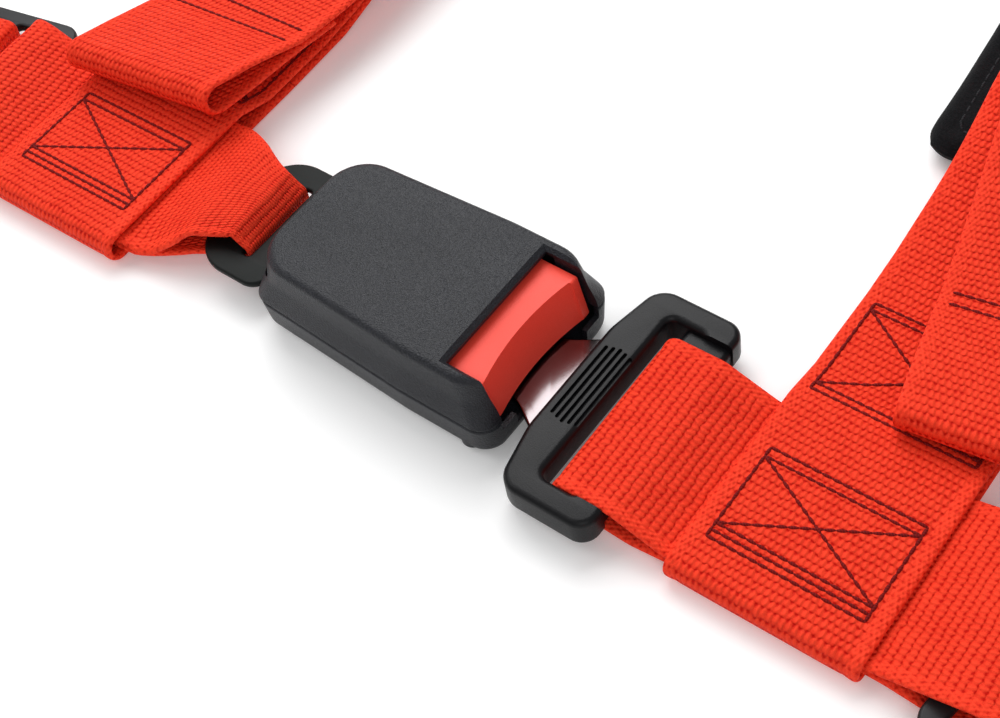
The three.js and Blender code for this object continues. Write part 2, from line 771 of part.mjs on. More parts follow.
// The doubled strap between the buckle's frame and the lap adjuster, in one piece with its ends butted
// under the junction. u runs outwards from the junction's middle.
const LAP_LOOPS = {
  left: {
    route: ([, lower, upper]) => [
      [-6, lower],
      [-26, lower],
      [-44, 5.2],
      [-64.2, 5.2, 2.9],
      [-64.2, 11, 2.9],
      [-50, 11],
      [-27, upper],
      [26, upper],
      [45, 13.6],
      [51, 14.2, 5.5],
      [51, 1.6, 5.5],
      [36, 1.6],
      [27, lower],
      [-2, lower],
    ],
    width: (u) => 24 + 26 * THREE.MathUtils.smoothstep(u, -62, -32),
  },
  right: {
    route: ([, lower, upper]) => [
      [-6, lower],
      [-26, lower],
      [-36, 1.4],
      [-44, 2.4],
      [-57, 2.4, 3.9],
      [-57, 10.2, 3.9],
      [-41, 10.2, 8],
      [-26, upper, 8],
      [26, upper],
      [50, 11.8],
      [57, 12.2, 5.3],
      [57, 1.5, 5.3],
      [40, 1.5],
      [30, lower],
      [-2, lower],
    ],
    width: () => WEB_WIDTH,
  },
};

// The strap from the lap adjuster to the anchor, with its tail turned outwards over it and ending in a
// folded pull tab. u runs outwards from the adjuster's front bar.
const lapAnchorRoute = (z) => [
  [102, 2.9],
  [150, 2.9, 3.3],
  [150, 9.5, 3.3],
  [128, 6.2],
  [106, 5],
  [80, 5],
  [44, z + SLIDE_OVER + LAYER + 0.2],
  ...throughSlide(z),
  [66, WEB_HALF],
  ...anchorLoop(LAP_ANCHOR_U),
];

function lapArm(side) {
  const { centre, lapTurn, layers, droop } = SIDES[side];
  const { route, width } = LAP_LOOPS[side];
  const [barU, barZ] = LAP_BAR[side];
  return groupAt(centre, lapTurn, [
    piece(`lap_loop_strap_${side}`, webbing(route(layers), { width }), RED_WEBBING),
    groupAt([barU, 0], droop, [
      piece(`lap_adjuster_${side}`, slide(barZ), BLACK_STEEL),
      piece(`lap_anchor_strap_${side}`, webbing(lapAnchorRoute(barZ)), RED_WEBBING),
      anchorAt(`lap_anchor_tab_${side}`, LAP_ANCHOR_U),
    ]),
  ]);
}

// ---------------------------------------------------------------- shoulder straps

// From the second stitch block down to the fold under the lap strap, back up over it to the adjuster,
// round its front bar and down again to the second stitch block. u runs up the strap.
const shoulderLoopRoute = ([under, , , top], foldAt) => {
  const [barU, barZ] = SHOULDER_BAR;
  const foldRadius = (top - under) / 2;
  return [
    [46, under],
    [foldAt, under, foldRadius],
    [foldAt, top, foldRadius],
    [27.5, top, 8],
    [39, under + 2 * LAYER - 0.4, 8],
    [64, under + 2 * LAYER - 0.4],
    [78, 5.8],
    [105, 11.4],
    [133, 18],
    [150, barZ + SLIDE_OVER],
    [barU + SLIDE.frontBar + 1.5, barZ + SLIDE_OVER, SLIDE_OVER],
    [barU + SLIDE.frontBar + 1.5, barZ - SLIDE_OVER, SLIDE_OVER],
    [132, 11.2],
    [112, 10],
    [72, 1.5],
    [50, under],
  ];
};

// The tail's pull tab, folded under and sewn, and its way up to the adjuster. u is counted from the
// adjuster's front bar, so it is negative all the way.
const TAILS = {
  left: {
    route: [
      [-94, 13.2],
      [-109, 12.8],
      [-126, 11.8],
      [-144, 11.8, 5.2],
      [-144, 22, 5.2],
      [-128, 19.2],
      [-108, 15],
      [-80, 16],
      [-55, 17.6],
      [-40, 19.6],
      [-10, 21.4],
    ],
    course: [
      [-100, -3],
      [-60, 8],
      [-20, 8],
      [5, 0],
    ],
  },
  right: {
    route: [
      [-82, 10],
      [-94, 9.4],
      [-115, 8.8],
      [-133, 9, 3.1],
      [-133, 15.2, 3.1],
      [-115, 14.4],
      [-92, 11.6],
      [-70, 14],
      [-55, 16.2],
      [-40, 19.4],
      [-10, 21.4],
    ],
    course: [
      [-40, 8],
      [-18, 14],
      [5, 0],
    ],
  },
};

const shoulderAnchorRoute = (tail) => [
  ...tail,
  ...throughSlide(SHOULDER_BAR[1]),
  [SLIDE.end + 32, PAD.thick + WEB_CLEAR + WEB_HALF],
  [PAD_TRAVEL_END, PAD.thick + WEB_CLEAR + WEB_HALF],
  [PAD_TRAVEL_END + 28, WEB_HALF],
  ...anchorLoop(SHOULDER_ANCHOR_U),
];

function shoulderArm(side) {
  const { centre, shoulderTurn, layers, foldAt, lean } = SIDES[side];
  const over = course(0, [
    [95, 0],
    [125, lean],
  ]);
  const bar = over(SHOULDER_BAR[0]);
  const tail = TAILS[side];
  const tailCourse = course(SLIDE_UP, tail.course);
  return groupAt(centre, shoulderTurn, [
    piece(`shoulder_loop_strap_${side}`, webbing(shoulderLoopRoute(layers, foldAt), { over }), RED_WEBBING),
    groupAt([bar.x, bar.y], lean, [
      piece(`shoulder_adjuster_${side}`, slide(SHOULDER_BAR[1]), BLACK_STEEL),
      piece(
        `shoulder_anchor_strap_${side}`,
        webbing(shoulderAnchorRoute(tail.route), { over: tailCourse }),
        RED_WEBBING,
      ),
      piece(`shoulder_pad_${side}`, shoulderPad(), PAD_FABRIC),
      piece(`pad_keeper_lower_${side}`, padKeeper(KEEPERS.lower), BLACK_WEBBING),
      piece(`pad_keeper_upper_${side}`, padKeeper(KEEPERS.upper), BLACK_WEBBING),
      anchorAt(`shoulder_anchor_tab_${side}`, SHOULDER_ANCHOR_U),
    ]),
  ]);
}

// ---------------------------------------------------------------- the harness

const harness = new THREE.Group();
harness.name = "racing_harness";
harness.add(
  ...buckle(),
  ...tongue(),
  lapArm("left"),
  lapArm("right"),
  shoulderArm("left"),
  shoulderArm("right"),
);

harness.updateMatrixWorld(true);
const box = new THREE.Box3().setFromObject(harness, true);
const middle = box.getCenter(new THREE.Vector3());
harness.position.set(-middle.x, -middle.y, -box.min.z);

export default harness;
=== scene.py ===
"""A four-point racing harness in red webbing, laid out flat on a table and buckled up.

The buckle lies in the middle. A lap strap runs out on each side of it to an adjuster and an anchor tab,
and a shoulder strap wraps each lap strap, is sewn to it, and runs up to its adjuster, pad and tab.

Every piece is drawn in millimetres about the middle of the buckle's front edge, with X from the buckle to
its tongue, Y up the shoulder straps and Z away from the table, and is carried to metres as it is made.
"""

import logging
from collections.abc import Callable, Iterable, Mapping, Sequence
from dataclasses import dataclass, replace
from enum import Enum
from math import acos, ceil, cos, pi, radians, sin, tan
from typing import Any

import bmesh
import bpy
import numpy as np
from mathutils import Matrix, Vector
from mathutils.geometry import tessellate_polygon


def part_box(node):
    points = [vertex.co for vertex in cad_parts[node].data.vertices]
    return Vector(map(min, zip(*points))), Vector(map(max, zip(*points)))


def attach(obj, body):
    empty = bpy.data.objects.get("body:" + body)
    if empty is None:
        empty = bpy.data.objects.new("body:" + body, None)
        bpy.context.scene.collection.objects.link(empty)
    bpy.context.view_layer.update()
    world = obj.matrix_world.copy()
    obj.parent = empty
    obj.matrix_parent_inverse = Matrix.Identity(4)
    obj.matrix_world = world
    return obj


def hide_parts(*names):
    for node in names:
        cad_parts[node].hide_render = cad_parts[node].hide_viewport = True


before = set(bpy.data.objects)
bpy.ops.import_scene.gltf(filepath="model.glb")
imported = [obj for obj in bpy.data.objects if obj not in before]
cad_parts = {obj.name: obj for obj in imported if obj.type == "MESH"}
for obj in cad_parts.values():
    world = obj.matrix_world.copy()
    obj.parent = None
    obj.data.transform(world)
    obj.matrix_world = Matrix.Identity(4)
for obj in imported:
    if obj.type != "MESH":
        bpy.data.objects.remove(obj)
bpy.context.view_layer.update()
log = logging.getLogger("harness")

MM = 0.001
Corner = tuple[float, ...]
Face = tuple[int, ...] | list[int]

WEB_WIDTH = 50.0
WEB_THICK = 1.6
WEB_HALF = WEB_THICK / 2
WEB_CLEAR = 0.4
LAYER = WEB_THICK + WEB_CLEAR
SOFT_BEND = 14.0
SPARE = 0.2
ROW_HALF = 22.0
SHARP = 38.0

HOUSING_FRONT = 14.6
HOUSING_REAR = -64.0


def origin() -> np.ndarray:
    """The point that the pieces are drawn about, in metres: 14.6 mm behind the housing's front end."""
    low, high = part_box("upper_cover")
    return np.array([high.x - HOUSING_FRONT * MM, (low.y + high.y) / 2, 0.0])


ORIGIN = origin()


class Side(Enum):
    """The two sides of the harness, by the buckle's and the tongue's side."""

    LEFT = "left"
    RIGHT = "right"


class Slot(Enum):
    """The material slots that pieces take their finish from."""

    RED_WEBBING = "red_webbing"
    BLACK_WEBBING = "black_webbing"
    PAD_FABRIC = "pad_fabric"
    HOUSING = "housing_plastic"
    GRIP = "grip_plastic"
    BUTTON = "button_plastic"
    CHROME = "chrome"
    DARK_STEEL = "dark_steel"
    BLACK_STEEL = "black_steel"
    SPRING_STEEL = "spring_steel"
    WHITE_PLASTIC = "white_plastic"


# ---------------------------------------------------------------- places and lines


@dataclass(frozen=True)
class Place:
    """A place on the table and a turn about the vertical, in millimetres and degrees."""

    x: float = 0.0
    y: float = 0.0
    turn: float = 0.0

    def carry(self, points: np.ndarray) -> np.ndarray:
        """Carry points from this place's own frame to the harness: a turn about Z, then a shift.

        Args:
            points: Any array whose last axis is X, Y, Z.

        Returns:
            The carried points, in an array of the same shape.
        """
        return self.turned(points) + np.array([self.x, self.y, 0.0])

    def turned(self, vectors: np.ndarray) -> np.ndarray:
        """Turn vectors about Z by this place's turn.

        Args:
            vectors: Any array whose last axis is X, Y, Z.

        Returns:
            The turned vectors.
        """
        c, s = cos(radians(self.turn)), sin(radians(self.turn))
        return vectors @ np.array([[c, s, 0.0], [-s, c, 0.0], [0.0, 0.0, 1.0]])

    def inside(self, x: float, y: float, turn: float) -> "Place":
        """A place given in this place's own frame.

        Args:
            x: Distance along this place's heading.
            y: Distance to the left of it.
            turn: Further turn in degrees.

        Returns:
            The same place in the harness's frame.
        """
        at = self.carry(np.array([x, y, 0.0]))
        return Place(float(at[0]), float(at[1]), self.turn + turn)


def unit(vectors: np.ndarray) -> np.ndarray:
    """Vectors divided by their lengths, along the last axis."""
    return vectors / np.maximum(np.linalg.norm(vectors, axis=-1, keepdims=True), 1e-12)


def corner_arc(
    before: np.ndarray, corner: np.ndarray, after: np.ndarray, radius: float, steps: int
) -> np.ndarray:
    """An arc of equal steps that touches both legs of a corner.

    Its centre lies on the corner's bisector, at radius over the sine of half the corner's angle.

    Args:
        before: The point before the corner.
        corner: The corner.
        after: The point after it.
        radius: The arc's radius, which shrinks where a leg is too short for it.
        steps: Number of steps, or 0 for steps of five degrees.

    Returns:
        The arc's points, or the corner alone where there is nothing to round.
    """
    back, on = before - corner, after - corner
    room = min(np.linalg.norm(back), np.linalg.norm(on)) / 2
    back, on = unit(back), unit(on)
    between = acos(float(np.clip(back @ on, -1, 1)))
    if radius == 0 or between > pi - 1e-4:
        return np.repeat(corner[None], steps + 1 if steps else 1, axis=0)
    reach = min(radius / tan(between / 2), room)
    centre = corner + unit(back + on) * reach * tan(between / 2) / sin(between / 2)
    start = corner + back * reach - centre
    sweep = -np.sign(back[0] * on[1] - back[1] * on[0]) * (pi - between)
    count = steps or max(1, ceil(abs(sweep) / radians(5)))
    turn = sweep * np.arange(count + 1) / count
    c, s = np.cos(turn), np.sin(turn)
    return centre + np.stack([c * start[0] - s * start[1], s * start[0] + c * start[1]], axis=1)


def rounded(
    corners: Iterable[Corner], radius: float = 0.0, closed: bool = False, steps: int = 0
) -> np.ndarray:
    """A line through corners, with each corner replaced by its arc.

    Args:
        corners: Points (a, b) or (a, b, radius).
        radius: Radius of the corners that give none.
        closed: Whether the line runs back to its start.
        steps: Steps in each arc, or 0 for steps of five degrees.

    Returns:
        An array of points, two to a row.
    """
    given = list(corners)
    line = np.array([c[:2] for c in given], float)
    last = len(given) - 1
    parts = []
    for i, c in enumerate(given):
        if not closed and i in (0, last):
            parts.append(line[i : i + 1])
            continue
        bend = c[2] if len(c) > 2 else radius
        parts.append(corner_arc(line[i - 1], line[i], line[(i + 1) % len(line)], bend, steps))
    return np.vstack(parts)


def filled(line: np.ndarray, gap: float) -> np.ndarray:
    """The same line with points added by straight interpolation wherever two are further apart than a gap.

    Args:
        line: Points of an open line, of any dimension.
        gap: The longest step that stays.

    Returns:
        The denser line.
    """
    legs = np.diff(line, axis=0)
    count = np.maximum(1, np.ceil(np.linalg.norm(legs, axis=1) / gap)).astype(int)
    which = np.repeat(np.arange(len(count)), count)
    share = (np.arange(count.sum()) - np.repeat(np.cumsum(count) - count, count)) / count[which]
    return np.vstack([line[:-1][which] + legs[which] * share[:, None], line[-1:]])


def smooth(x: np.ndarray | float, low: float, high: float) -> np.ndarray:
    """A smooth step: 0 below low, 1 above high, and 3t² - 2t³ between."""
    t = np.clip((np.asarray(x, float) - low) / (high - low), 0, 1)
    return t * t * (3 - 2 * t)


def rectangle(x0: float, y0: float, x1: float, y1: float, radius: float) -> list[Corner]:
    """The corners of a rectangle, all with one radius."""
    return [(x0, y0, radius), (x1, y0, radius), (x1, y1, radius), (x0, y1, radius)]


# ---------------------------------------------------------------- meshes


@dataclass
class Surface:
    """Points in millimetres in the harness's frame, faces over them, and texture places in metres."""

    points: np.ndarray
    faces: list[Face]
    places: np.ndarray | None = None

    def joined(self, other: "Surface") -> "Surface":
        """This surface and another as one, still separate shells."""
        shift = len(self.points)
        faces = self.faces + [tuple(i + shift for i in face) for face in other.faces]
        places = None
        if self.places is not None and other.places is not None:
            places = np.vstack([self.places, other.places])
        return Surface(np.vstack([self.points, other.points]), faces, places)

    def carried(self, place: Place) -> "Surface":
        """The same surface at a place."""
        return replace(self, points=place.carry(self.points))

    def standing(self) -> "Surface":
        """A surface drawn in X and Z turned up, so that its thickness runs along Y."""
        return replace(self, points=self.points[:, [0, 2, 1]])

    def made(self, name: str, sharp: float = SHARP) -> bpy.types.Object:
        """Make a Blender object of the surface, in metres, with its faces pointing outwards.

        Args:
            name: The piece's name.
            sharp: Edges that turn by more than this many degrees stay sharp.

        Returns:
            The new object, linked to the scene.
        """
        mesh = bpy.data.meshes.new(name)
        mesh.from_pydata((ORIGIN + self.points * MM).tolist(), [], self.faces)
        outward(mesh)
        if self.places is not None:
            corners = np.empty(len(mesh.loops), np.int64)
            mesh.loops.foreach_get("vertex_index", corners)
            layer = mesh.uv_layers.new(name="Cloth")
            layer.uv.foreach_set("vector", self.places[corners].astype(np.float32).ravel())
        mesh.shade_smooth()
        mesh.set_sharp_from_angle(angle=radians(sharp))
        made = bpy.data.objects.new(name, mesh)
        bpy.context.scene.collection.objects.link(made)
        return made


def outward(mesh: bpy.types.Mesh) -> None:
    """Turn every face of closed shells outwards.

    Args:
        mesh: The mesh, which is changed.
    """
    shells = bmesh.new()
    shells.from_mesh(mesh)
    bmesh.ops.recalc_face_normals(shells, faces=shells.faces)
    shells.to_mesh(mesh)
    shells.free()


def points_of(mesh: bpy.types.Mesh) -> np.ndarray:
    """A mesh's points in millimetres about the harness's origin."""
    points = np.empty(len(mesh.vertices) * 3, np.float32)
    mesh.vertices.foreach_get("co", points)
    return (points.reshape(-1, 3).astype(float) - ORIGIN) / MM


def grid_faces(rows: int, columns: int, closed: bool = True) -> list[Face]:
    """Quads over a grid of points stored row by row.

    Args:
        rows: Number of rows.
        columns: Points in each row.
        closed: Whether each row runs back to its start.

    Returns:
        The quads.
    """
    across = np.arange(columns if closed else columns - 1)
    a = (np.arange(rows - 1)[:, None] * columns + across).ravel()
    b = (np.arange(rows - 1)[:, None] * columns + (across + 1) % columns).ravel()
    return np.stack([a, b, b + columns, a + columns], axis=1).tolist()


def lofted(rings: np.ndarray) -> Surface:
    """A closed shell through a stack of rings, with a flat cap at each end.

    Args:
        rings: Array of rings, points in a ring, and X, Y, Z.

    Returns:
        The shell.
    """
    rows, columns = rings.shape[:2]
    first = list(range(columns))
    last = list(range((rows - 1) * columns, rows * columns))
    return Surface(rings.reshape(-1, 3), [*grid_faces(rows, columns), first[::-1], last])


def inset(loop: np.ndarray, by: float) -> np.ndarray:
    """A closed loop moved to the left of its travel, each point along the mitre of its two legs.

    The mitre is the sum of the two unit normals over one plus their product.

    Args:
        loop: Points of the loop.
        by: Distance.

    Returns:
        The moved loop.
    """
    legs = unit(np.roll(loop, -1, axis=0) - loop)
    normal = np.stack([-legs[:, 1], legs[:, 0]], axis=1)
    before = np.roll(normal, 1, axis=0)
    share = 1 + np.sum(normal * before, axis=1, keepdims=True)
    return loop + by * (normal + before) / np.maximum(share, 0.2)


def wound(loop: np.ndarray, left: bool) -> np.ndarray:
    """A loop that runs anticlockwise if `left` is true, and clockwise if not."""
    x, y = loop[:, 0], loop[:, 1]
    area = np.sum(x * np.roll(y, -1) - y * np.roll(x, -1))
    return loop if (area > 0) == left else loop[::-1]


def distinct(loop: np.ndarray) -> np.ndarray:
    """A closed loop without points that repeat the one before."""
    return loop[np.linalg.norm(loop - np.roll(loop, 1, axis=0), axis=1) > 1e-6]


def plate(
    corners: Iterable[Corner],
    low: float,
    high: float,
    ease: float = 0.4,
    holes: Sequence[Iterable[Corner]] = (),
    steps: int = 3,
) -> Surface:
    """A flat plate whose edges are eased by quarter rounds.

    At angle t round the edge, from 0 on the face to a right angle on the wall, the outline is drawn in by
    ease times (1 - sin t) and stands ease times (1 - cos t) above the face.

    Args:
        corners: The outline's corners.
        low: Height of the lower face.
        high: Height of the upper face.
        ease: Radius of the rounded edges.
        holes: Corners of each hole.
        steps: Steps in each quarter round.

    Returns:
        The plate, drawn in X and Y.
    """
    loops = [wound(distinct(rounded(corners, closed=True)), True)]
    loops += [wound(distinct(rounded(hole, closed=True)), False) for hole in holes]
    turn = np.linspace(0, pi / 2, steps + 1) if ease else np.array([0.0])
    by, rise = ease * (1 - np.sin(turn)), ease * (1 - np.cos(turn))
    heights = np.concatenate([low + rise, (high - rise)[::-1]])
    insets = np.concatenate([by, by[::-1]])
    points, faces, bottom, top, shift = [], [], [], [], 0
    for loop in loops:
        rings = [np.column_stack([inset(loop, d), np.full(len(loop), z)]) for d, z in zip(insets, heights)]
        faces += [[i + shift for i in quad] for quad in grid_faces(len(rings), len(loop))]
        bottom += range(shift, shift + len(loop))
        top += range(shift + (len(rings) - 1) * len(loop), shift + len(rings) * len(loop))
        points.append(np.vstack(rings))
        shift += len(rings) * len(loop)
    flat = [[Vector((x, y, 0)) for x, y in inset(loop, float(insets[0]))] for loop in loops]
    for a, b, c in tessellate_polygon(flat):
        faces += [[bottom[a], bottom[c], bottom[b]], [top[a], top[b], top[c]]]
    return Surface(np.vstack(points), faces)


def rod(x: float, y: float, low: float, high: float, radius: float, sides: int = 48) -> Surface:
    """An upright round bar: a circle carried from one height to another."""
    turn = np.arange(sides) * 2 * pi / sides
    ring = np.stack([x + radius * np.cos(turn), y + radius * np.sin(turn), np.zeros(sides)], axis=1)
    return lofted(np.stack([ring + [0, 0, low], ring + [0, 0, high]]))


def block(low: Corner, high: Corner) -> Surface:
    """A box between two corners, used to cut or to join other shapes."""
    ring = np.array([[low[0], low[1]], [high[0], low[1]], [high[0], high[1]], [low[0], high[1]]])
    return lofted(np.stack([np.column_stack([ring, np.full(4, z)]) for z in (low[2], high[2])]))


def tube(path: np.ndarray, radius: float, sides: int) -> Surface:
    """A round wire along a path: circles square to it, turned so that they don't twist.

    Args:
        path: Points of the path's middle.
        radius: The wire's radius.
        sides: Points in each circle.

    Returns:
        The wire.
    """
    along = unit(np.gradient(path, axis=0))
    across = unit(np.cross(along, [0.0, 0.013, 1.0]))
    up = np.cross(across, along)
    turn = np.arange(sides) * 2 * pi / sides
    ring = np.cos(turn)[None, :, None] * across[:, None] + np.sin(turn)[None, :, None] * up[:, None]
    return lofted(path[:, None] + radius * ring)


class Cut(Enum):
    """What one solid does to another."""

    TAKE = "DIFFERENCE"
    JOIN = "UNION"


def carved(
    piece: bpy.types.Object, tools: Sequence[tuple[Cut, Surface]], sharp: float = SHARP
) -> bpy.types.Object:
    """Cut a piece with other shapes, or join them to it, in order.

    Args:
        piece: The piece, whose mesh is replaced.
        tools: What each shape does, and the shape.
        sharp: Edges that turn by more than this many degrees stay sharp.

    Returns:
        The same piece.
    """
    for kind, shape in tools:
        tool = shape.made("tool")
        change = piece.modifiers.new("carve", "BOOLEAN")
        change.operation = kind.value
        change.object = tool
        change.solver = "EXACT"
        settled = bpy.data.meshes.new_from_object(piece.evaluated_get(bpy.context.evaluated_depsgraph_get()))
        piece.modifiers.clear()
        old, piece.data = piece.data, settled
        settled.name = piece.name
        bpy.data.meshes.remove(old)
        bpy.data.objects.remove(tool)
    piece.data.shade_smooth()
    piece.data.set_sharp_from_angle(angle=radians(sharp))
    return piece


# ---------------------------------------------------------------- shader maths


class Value:
    """One number that varies over a surface, so that shader maths reads as Python."""

    def __init__(self, shader: "Shader", socket: bpy.types.NodeSocket) -> None:
        """Wrap a node's output.

        Args:
            shader: The shader that the socket belongs to.
            socket: The output.
        """
        self.shader = shader
        self.socket = socket

    def __add__(self, other: "Value | float") -> "Value":
        """The sum."""
        return self.shader.math("ADD", self, other)

    __radd__ = __add__

    def __mul__(self, other: "Value | float") -> "Value":
        """The product."""
        return self.shader.math("MULTIPLY", self, other)

    __rmul__ = __mul__

    def __sub__(self, other: "Value | float") -> "Value":
        """The difference."""
        return self.shader.math("SUBTRACT", self, other)

    def __rsub__(self, other: float) -> "Value":
        """The difference from a number."""
        return self.shader.math("SUBTRACT", other, self)

    def __pow__(self, other: float) -> "Value":
        """The power."""
        return self.shader.math("POWER", self, other)

    def sine(self) -> "Value":
        """The sine, in radians."""
        return self.shader.math("SINE", self)

    def size(self) -> "Value":
        """The absolute value."""
        return self.shader.math("ABSOLUTE", self)

    def step(self, low: float, high: float) -> "Value":
        """A smooth step from 0 at low to 1 at high.

        Args:
            low: Where it leaves 0.
            high: Where it reaches 1.

        Returns:
            The stepped value.
        """
        node = self.shader.add(
            "ShaderNodeMapRange",
            {"interpolation_type": "SMOOTHSTEP"},
            {"Value": self, "From Min": low, "From Max": high},
        )
        return Value(self.shader, node.outputs["Result"])


Colour = tuple[float, float, float]


class Shader:
    """A material's nodes: a principled surface, and whatever feeds it."""

    def __init__(self, name: str, constants: Mapping[str, Any]) -> None:
        """Start a material.

        Args:
            name: The material's name.
            constants: Values of the surface's sockets that are the same all over.
        """
        self.material = bpy.data.materials.new(name)
        self.material.use_nodes = True
        self.tree = self.material.node_tree
        self.tree.nodes.clear()
        self.surface = self.add("ShaderNodeBsdfPrincipled", {}, constants)
        self.add("ShaderNodeOutputMaterial", {}, {"Surface": self.surface.outputs["BSDF"]})

    def add(self, kind: str, settings: Mapping[str, Any], inputs: Mapping[str | int, Any]) -> bpy.types.Node:
        """Add a node.

        Args:
            kind: The node's type.
            settings: Its settings, which are set first.
            inputs: Values or links of its sockets, by name or number.

        Returns:
            The node.
        """
        node = self.tree.nodes.new(kind)
        for key, value in settings.items():
            setattr(node, key, value)
        for key, value in inputs.items():
            self.feed(node.inputs[key], value)
        return node

    def feed(self, socket: bpy.types.NodeSocket, value: Any) -> None:
        """Link a socket, or set it.

        Args:
            socket: The input.
            value: A value, an output, a colour or a number.
        """
        if isinstance(value, Value):
            self.tree.links.new(value.socket, socket)
        elif isinstance(value, bpy.types.NodeSocket):
            self.tree.links.new(value, socket)
        elif socket.type == "RGBA":
            socket.default_value = (*value, 1.0)
        else:
            socket.default_value = value

    def math(self, operation: str, *terms: "Value | float") -> Value:
        """A Math node.

        Args:
            operation: What it does.
            terms: Its one or two terms.

        Returns:
            The result.
        """
        node = self.add("ShaderNodeMath", {"operation": operation}, dict(enumerate(terms)))
        return Value(self, node.outputs[0])

    def cloth(self) -> tuple[Value, Value]:
        """Places along and across a band, in millimetres, from its own map."""
        place = self.add("ShaderNodeUVMap", {"uv_map": "Cloth"}, {})
        parts = self.add("ShaderNodeSeparateXYZ", {}, {0: place.outputs["UV"]})
        return Value(self, parts.outputs["X"]) * 1000.0, Value(self, parts.outputs["Y"]) * 1000.0

    def around(self, stretch: Corner = (1.0, 1.0, 1.0), turn: float = 0.0) -> bpy.types.NodeSocket:
        """Places in the object, stretched along its axes.

        Args:
            stretch: Scale along X, Y and Z.
            turn: Turn about Z in degrees.

        Returns:
            The places.
        """
        place = self.add("ShaderNodeTexCoord", {}, {})
        node = self.add(
            "ShaderNodeMapping",
            {},
            {"Vector": place.outputs["Object"], "Scale": stretch, "Rotation": (0.0, 0.0, radians(turn))},
        )
        return node.outputs["Vector"]

    def noise(self, place: bpy.types.NodeSocket, per_metre: float, detail: float = 2.0) -> Value:
        """Soft noise from 0 to 1.

        Args:
            place: Where it is read.
            per_metre: How many patches to a metre.
            detail: Layers of finer noise.

        Returns:
            The noise.
        """
        node = self.add("ShaderNodeTexNoise", {}, {"Vector": place, "Scale": per_metre, "Detail": detail})
        return Value(self, node.outputs["Fac"])

    def cells(self, place: bpy.types.NodeSocket, per_metre: float) -> Value:
        """Distance to the nearest of scattered points, in cells.

        Args:
            place: Where it is read.
            per_metre: How many cells to a metre.

        Returns:
            The distance.
        """
        node = self.add("ShaderNodeTexVoronoi", {}, {"Vector": place, "Scale": per_metre})
        return Value(self, node.outputs["Distance"])

    def blend(self, share: Value, first: Any, second: Any) -> bpy.types.NodeSocket:
        """A colour between two.

        Args:
            share: 0 for the first and 1 for the second.
            first: A colour or an output.
            second: A colour or an output.

        Returns:
            The mixed colour.
        """
        node = self.add("ShaderNodeMix", {"data_type": "RGBA"}, {0: share, 6: first, 7: second})
        return node.outputs[2]

    def dress(
        self, colour: Any, roughness: Any, height: Value | None = None, depth: float = 0.0
    ) -> bpy.types.Material:
        """Feed the surface.

        Args:
            colour: Base colour.
            roughness: Roughness.
            height: Relief from 0 to 1.
            depth: What a relief of 1 stands for, in millimetres.

        Returns:
            The finished material.
        """
        self.feed(self.surface.inputs["Base Color"], colour)
        self.feed(self.surface.inputs["Roughness"], roughness)
        if height is not None:
            inputs = {"Strength": 1.0, "Distance": depth * MM, "Height": height}
            relief = self.add("ShaderNodeBump", {}, inputs)
            self.feed(self.surface.inputs["Normal"], relief.outputs["Normal"])
        return self.material


# ---------------------------------------------------------------- finishes


@dataclass(frozen=True)
class Webbing:
    """Woven polyester webbing: rows of floats along the band, each row set off by half a float.

    The rows part where a sine along the band, plus a little of the sine across it, is zero, so that each
    float reaches between two of the next row. Inside a row the relief follows the sine across, with its
    sign changed from row to row. The colour is painted darker down into the valleys of that relief, and
    darkest in the pits where two rows part at a float's end: painted shade in the weave's hollows. The
    woven edge is closer and flatter, and its colour follows its relief in the same way.
    """

    name: str
    bright: Colour
    deep: Colour
    row: float = 2.15
    wale: float = 1.58
    relief: float = 0.42
    edge: float = 21.6

    def made(self) -> bpy.types.Material:
        """The material."""
        shader = Shader(self.name, {"Specular IOR Level": 0.08})
        along, across = shader.cloth()
        drift = shader.noise(shader.around(), 160.0, 2.0)
        fibre = shader.noise(shader.around(), 3300.0, 3.0)
        uneven = shader.noise(shader.around(), 620.0, 1.0)
        wale = ((across + 0.6 * uneven) * (2 * pi / self.wale)).sine()
        phase = (along + 1.2 * uneven) * (pi / self.row) + drift * 1.2
        row = phase.sine() + 0.14 * wale
        rib = row.size() ** 0.8
        full = (0.5 + 0.5 * shader.math("SIGN", row) * wale) ** 0.8
        # Painted shade: the pits where two rows part at a float's end, which darken the colour below.
        pit_shadow = (1.0 - rib) * (0.5 + 0.5 * wale * (phase + pi / 2).sine()) ** 1.6
        field_relief = rib * (0.35 + 0.65 * full)
        close = (along * (pi / 1.15)).sine() * (across * (pi / 0.62)).sine()
        edge_relief = 0.62 + 0.3 * close
        edge = across.size().step(self.edge - 0.5, self.edge + 0.5)
        relief = field_relief + (edge_relief - field_relief) * edge + 0.2 * fibre
        # The colour follows the relief and darkens in the pits, as painted shade in the weave's hollows;
        # drift and fibre add the webbing's own uneven tone.
        shade = 0.42 + 0.5 * relief.step(0.0, 0.85) - 0.95 * pit_shadow + 0.5 * (drift - 0.4) + 0.7 * (fibre - 0.5)
        colour = shader.blend(shade, self.deep, self.bright)
        return shader.dress(colour, 0.5 + 0.25 * fibre, relief, self.relief)


@dataclass(frozen=True)
class Thread:
    """Bonded sewing thread: fine strands that twist round it, with painted shade in the grooves between them.
    """

    name: str
    bright: Colour
    deep: Colour

    def made(self) -> bpy.types.Material:
        """The material."""
        shader = Shader(self.name, {"Specular IOR Level": 0.12})
        along, around = shader.cloth()
        strand = 0.5 + 0.5 * (along * 9.0 + around * 6.2832).sine()
        fibre = shader.noise(shader.around(), 4000.0, 2.0)
        # The colour follows the strands' relief, painted darker in the grooves between them as shade, with
        # the fibres' own tone on top.
        colour = shader.blend(strand * 0.7 + fibre * 0.4, self.deep, self.bright)
        return shader.dress(colour, 0.45 + 0.3 * fibre, strand, 0.06)


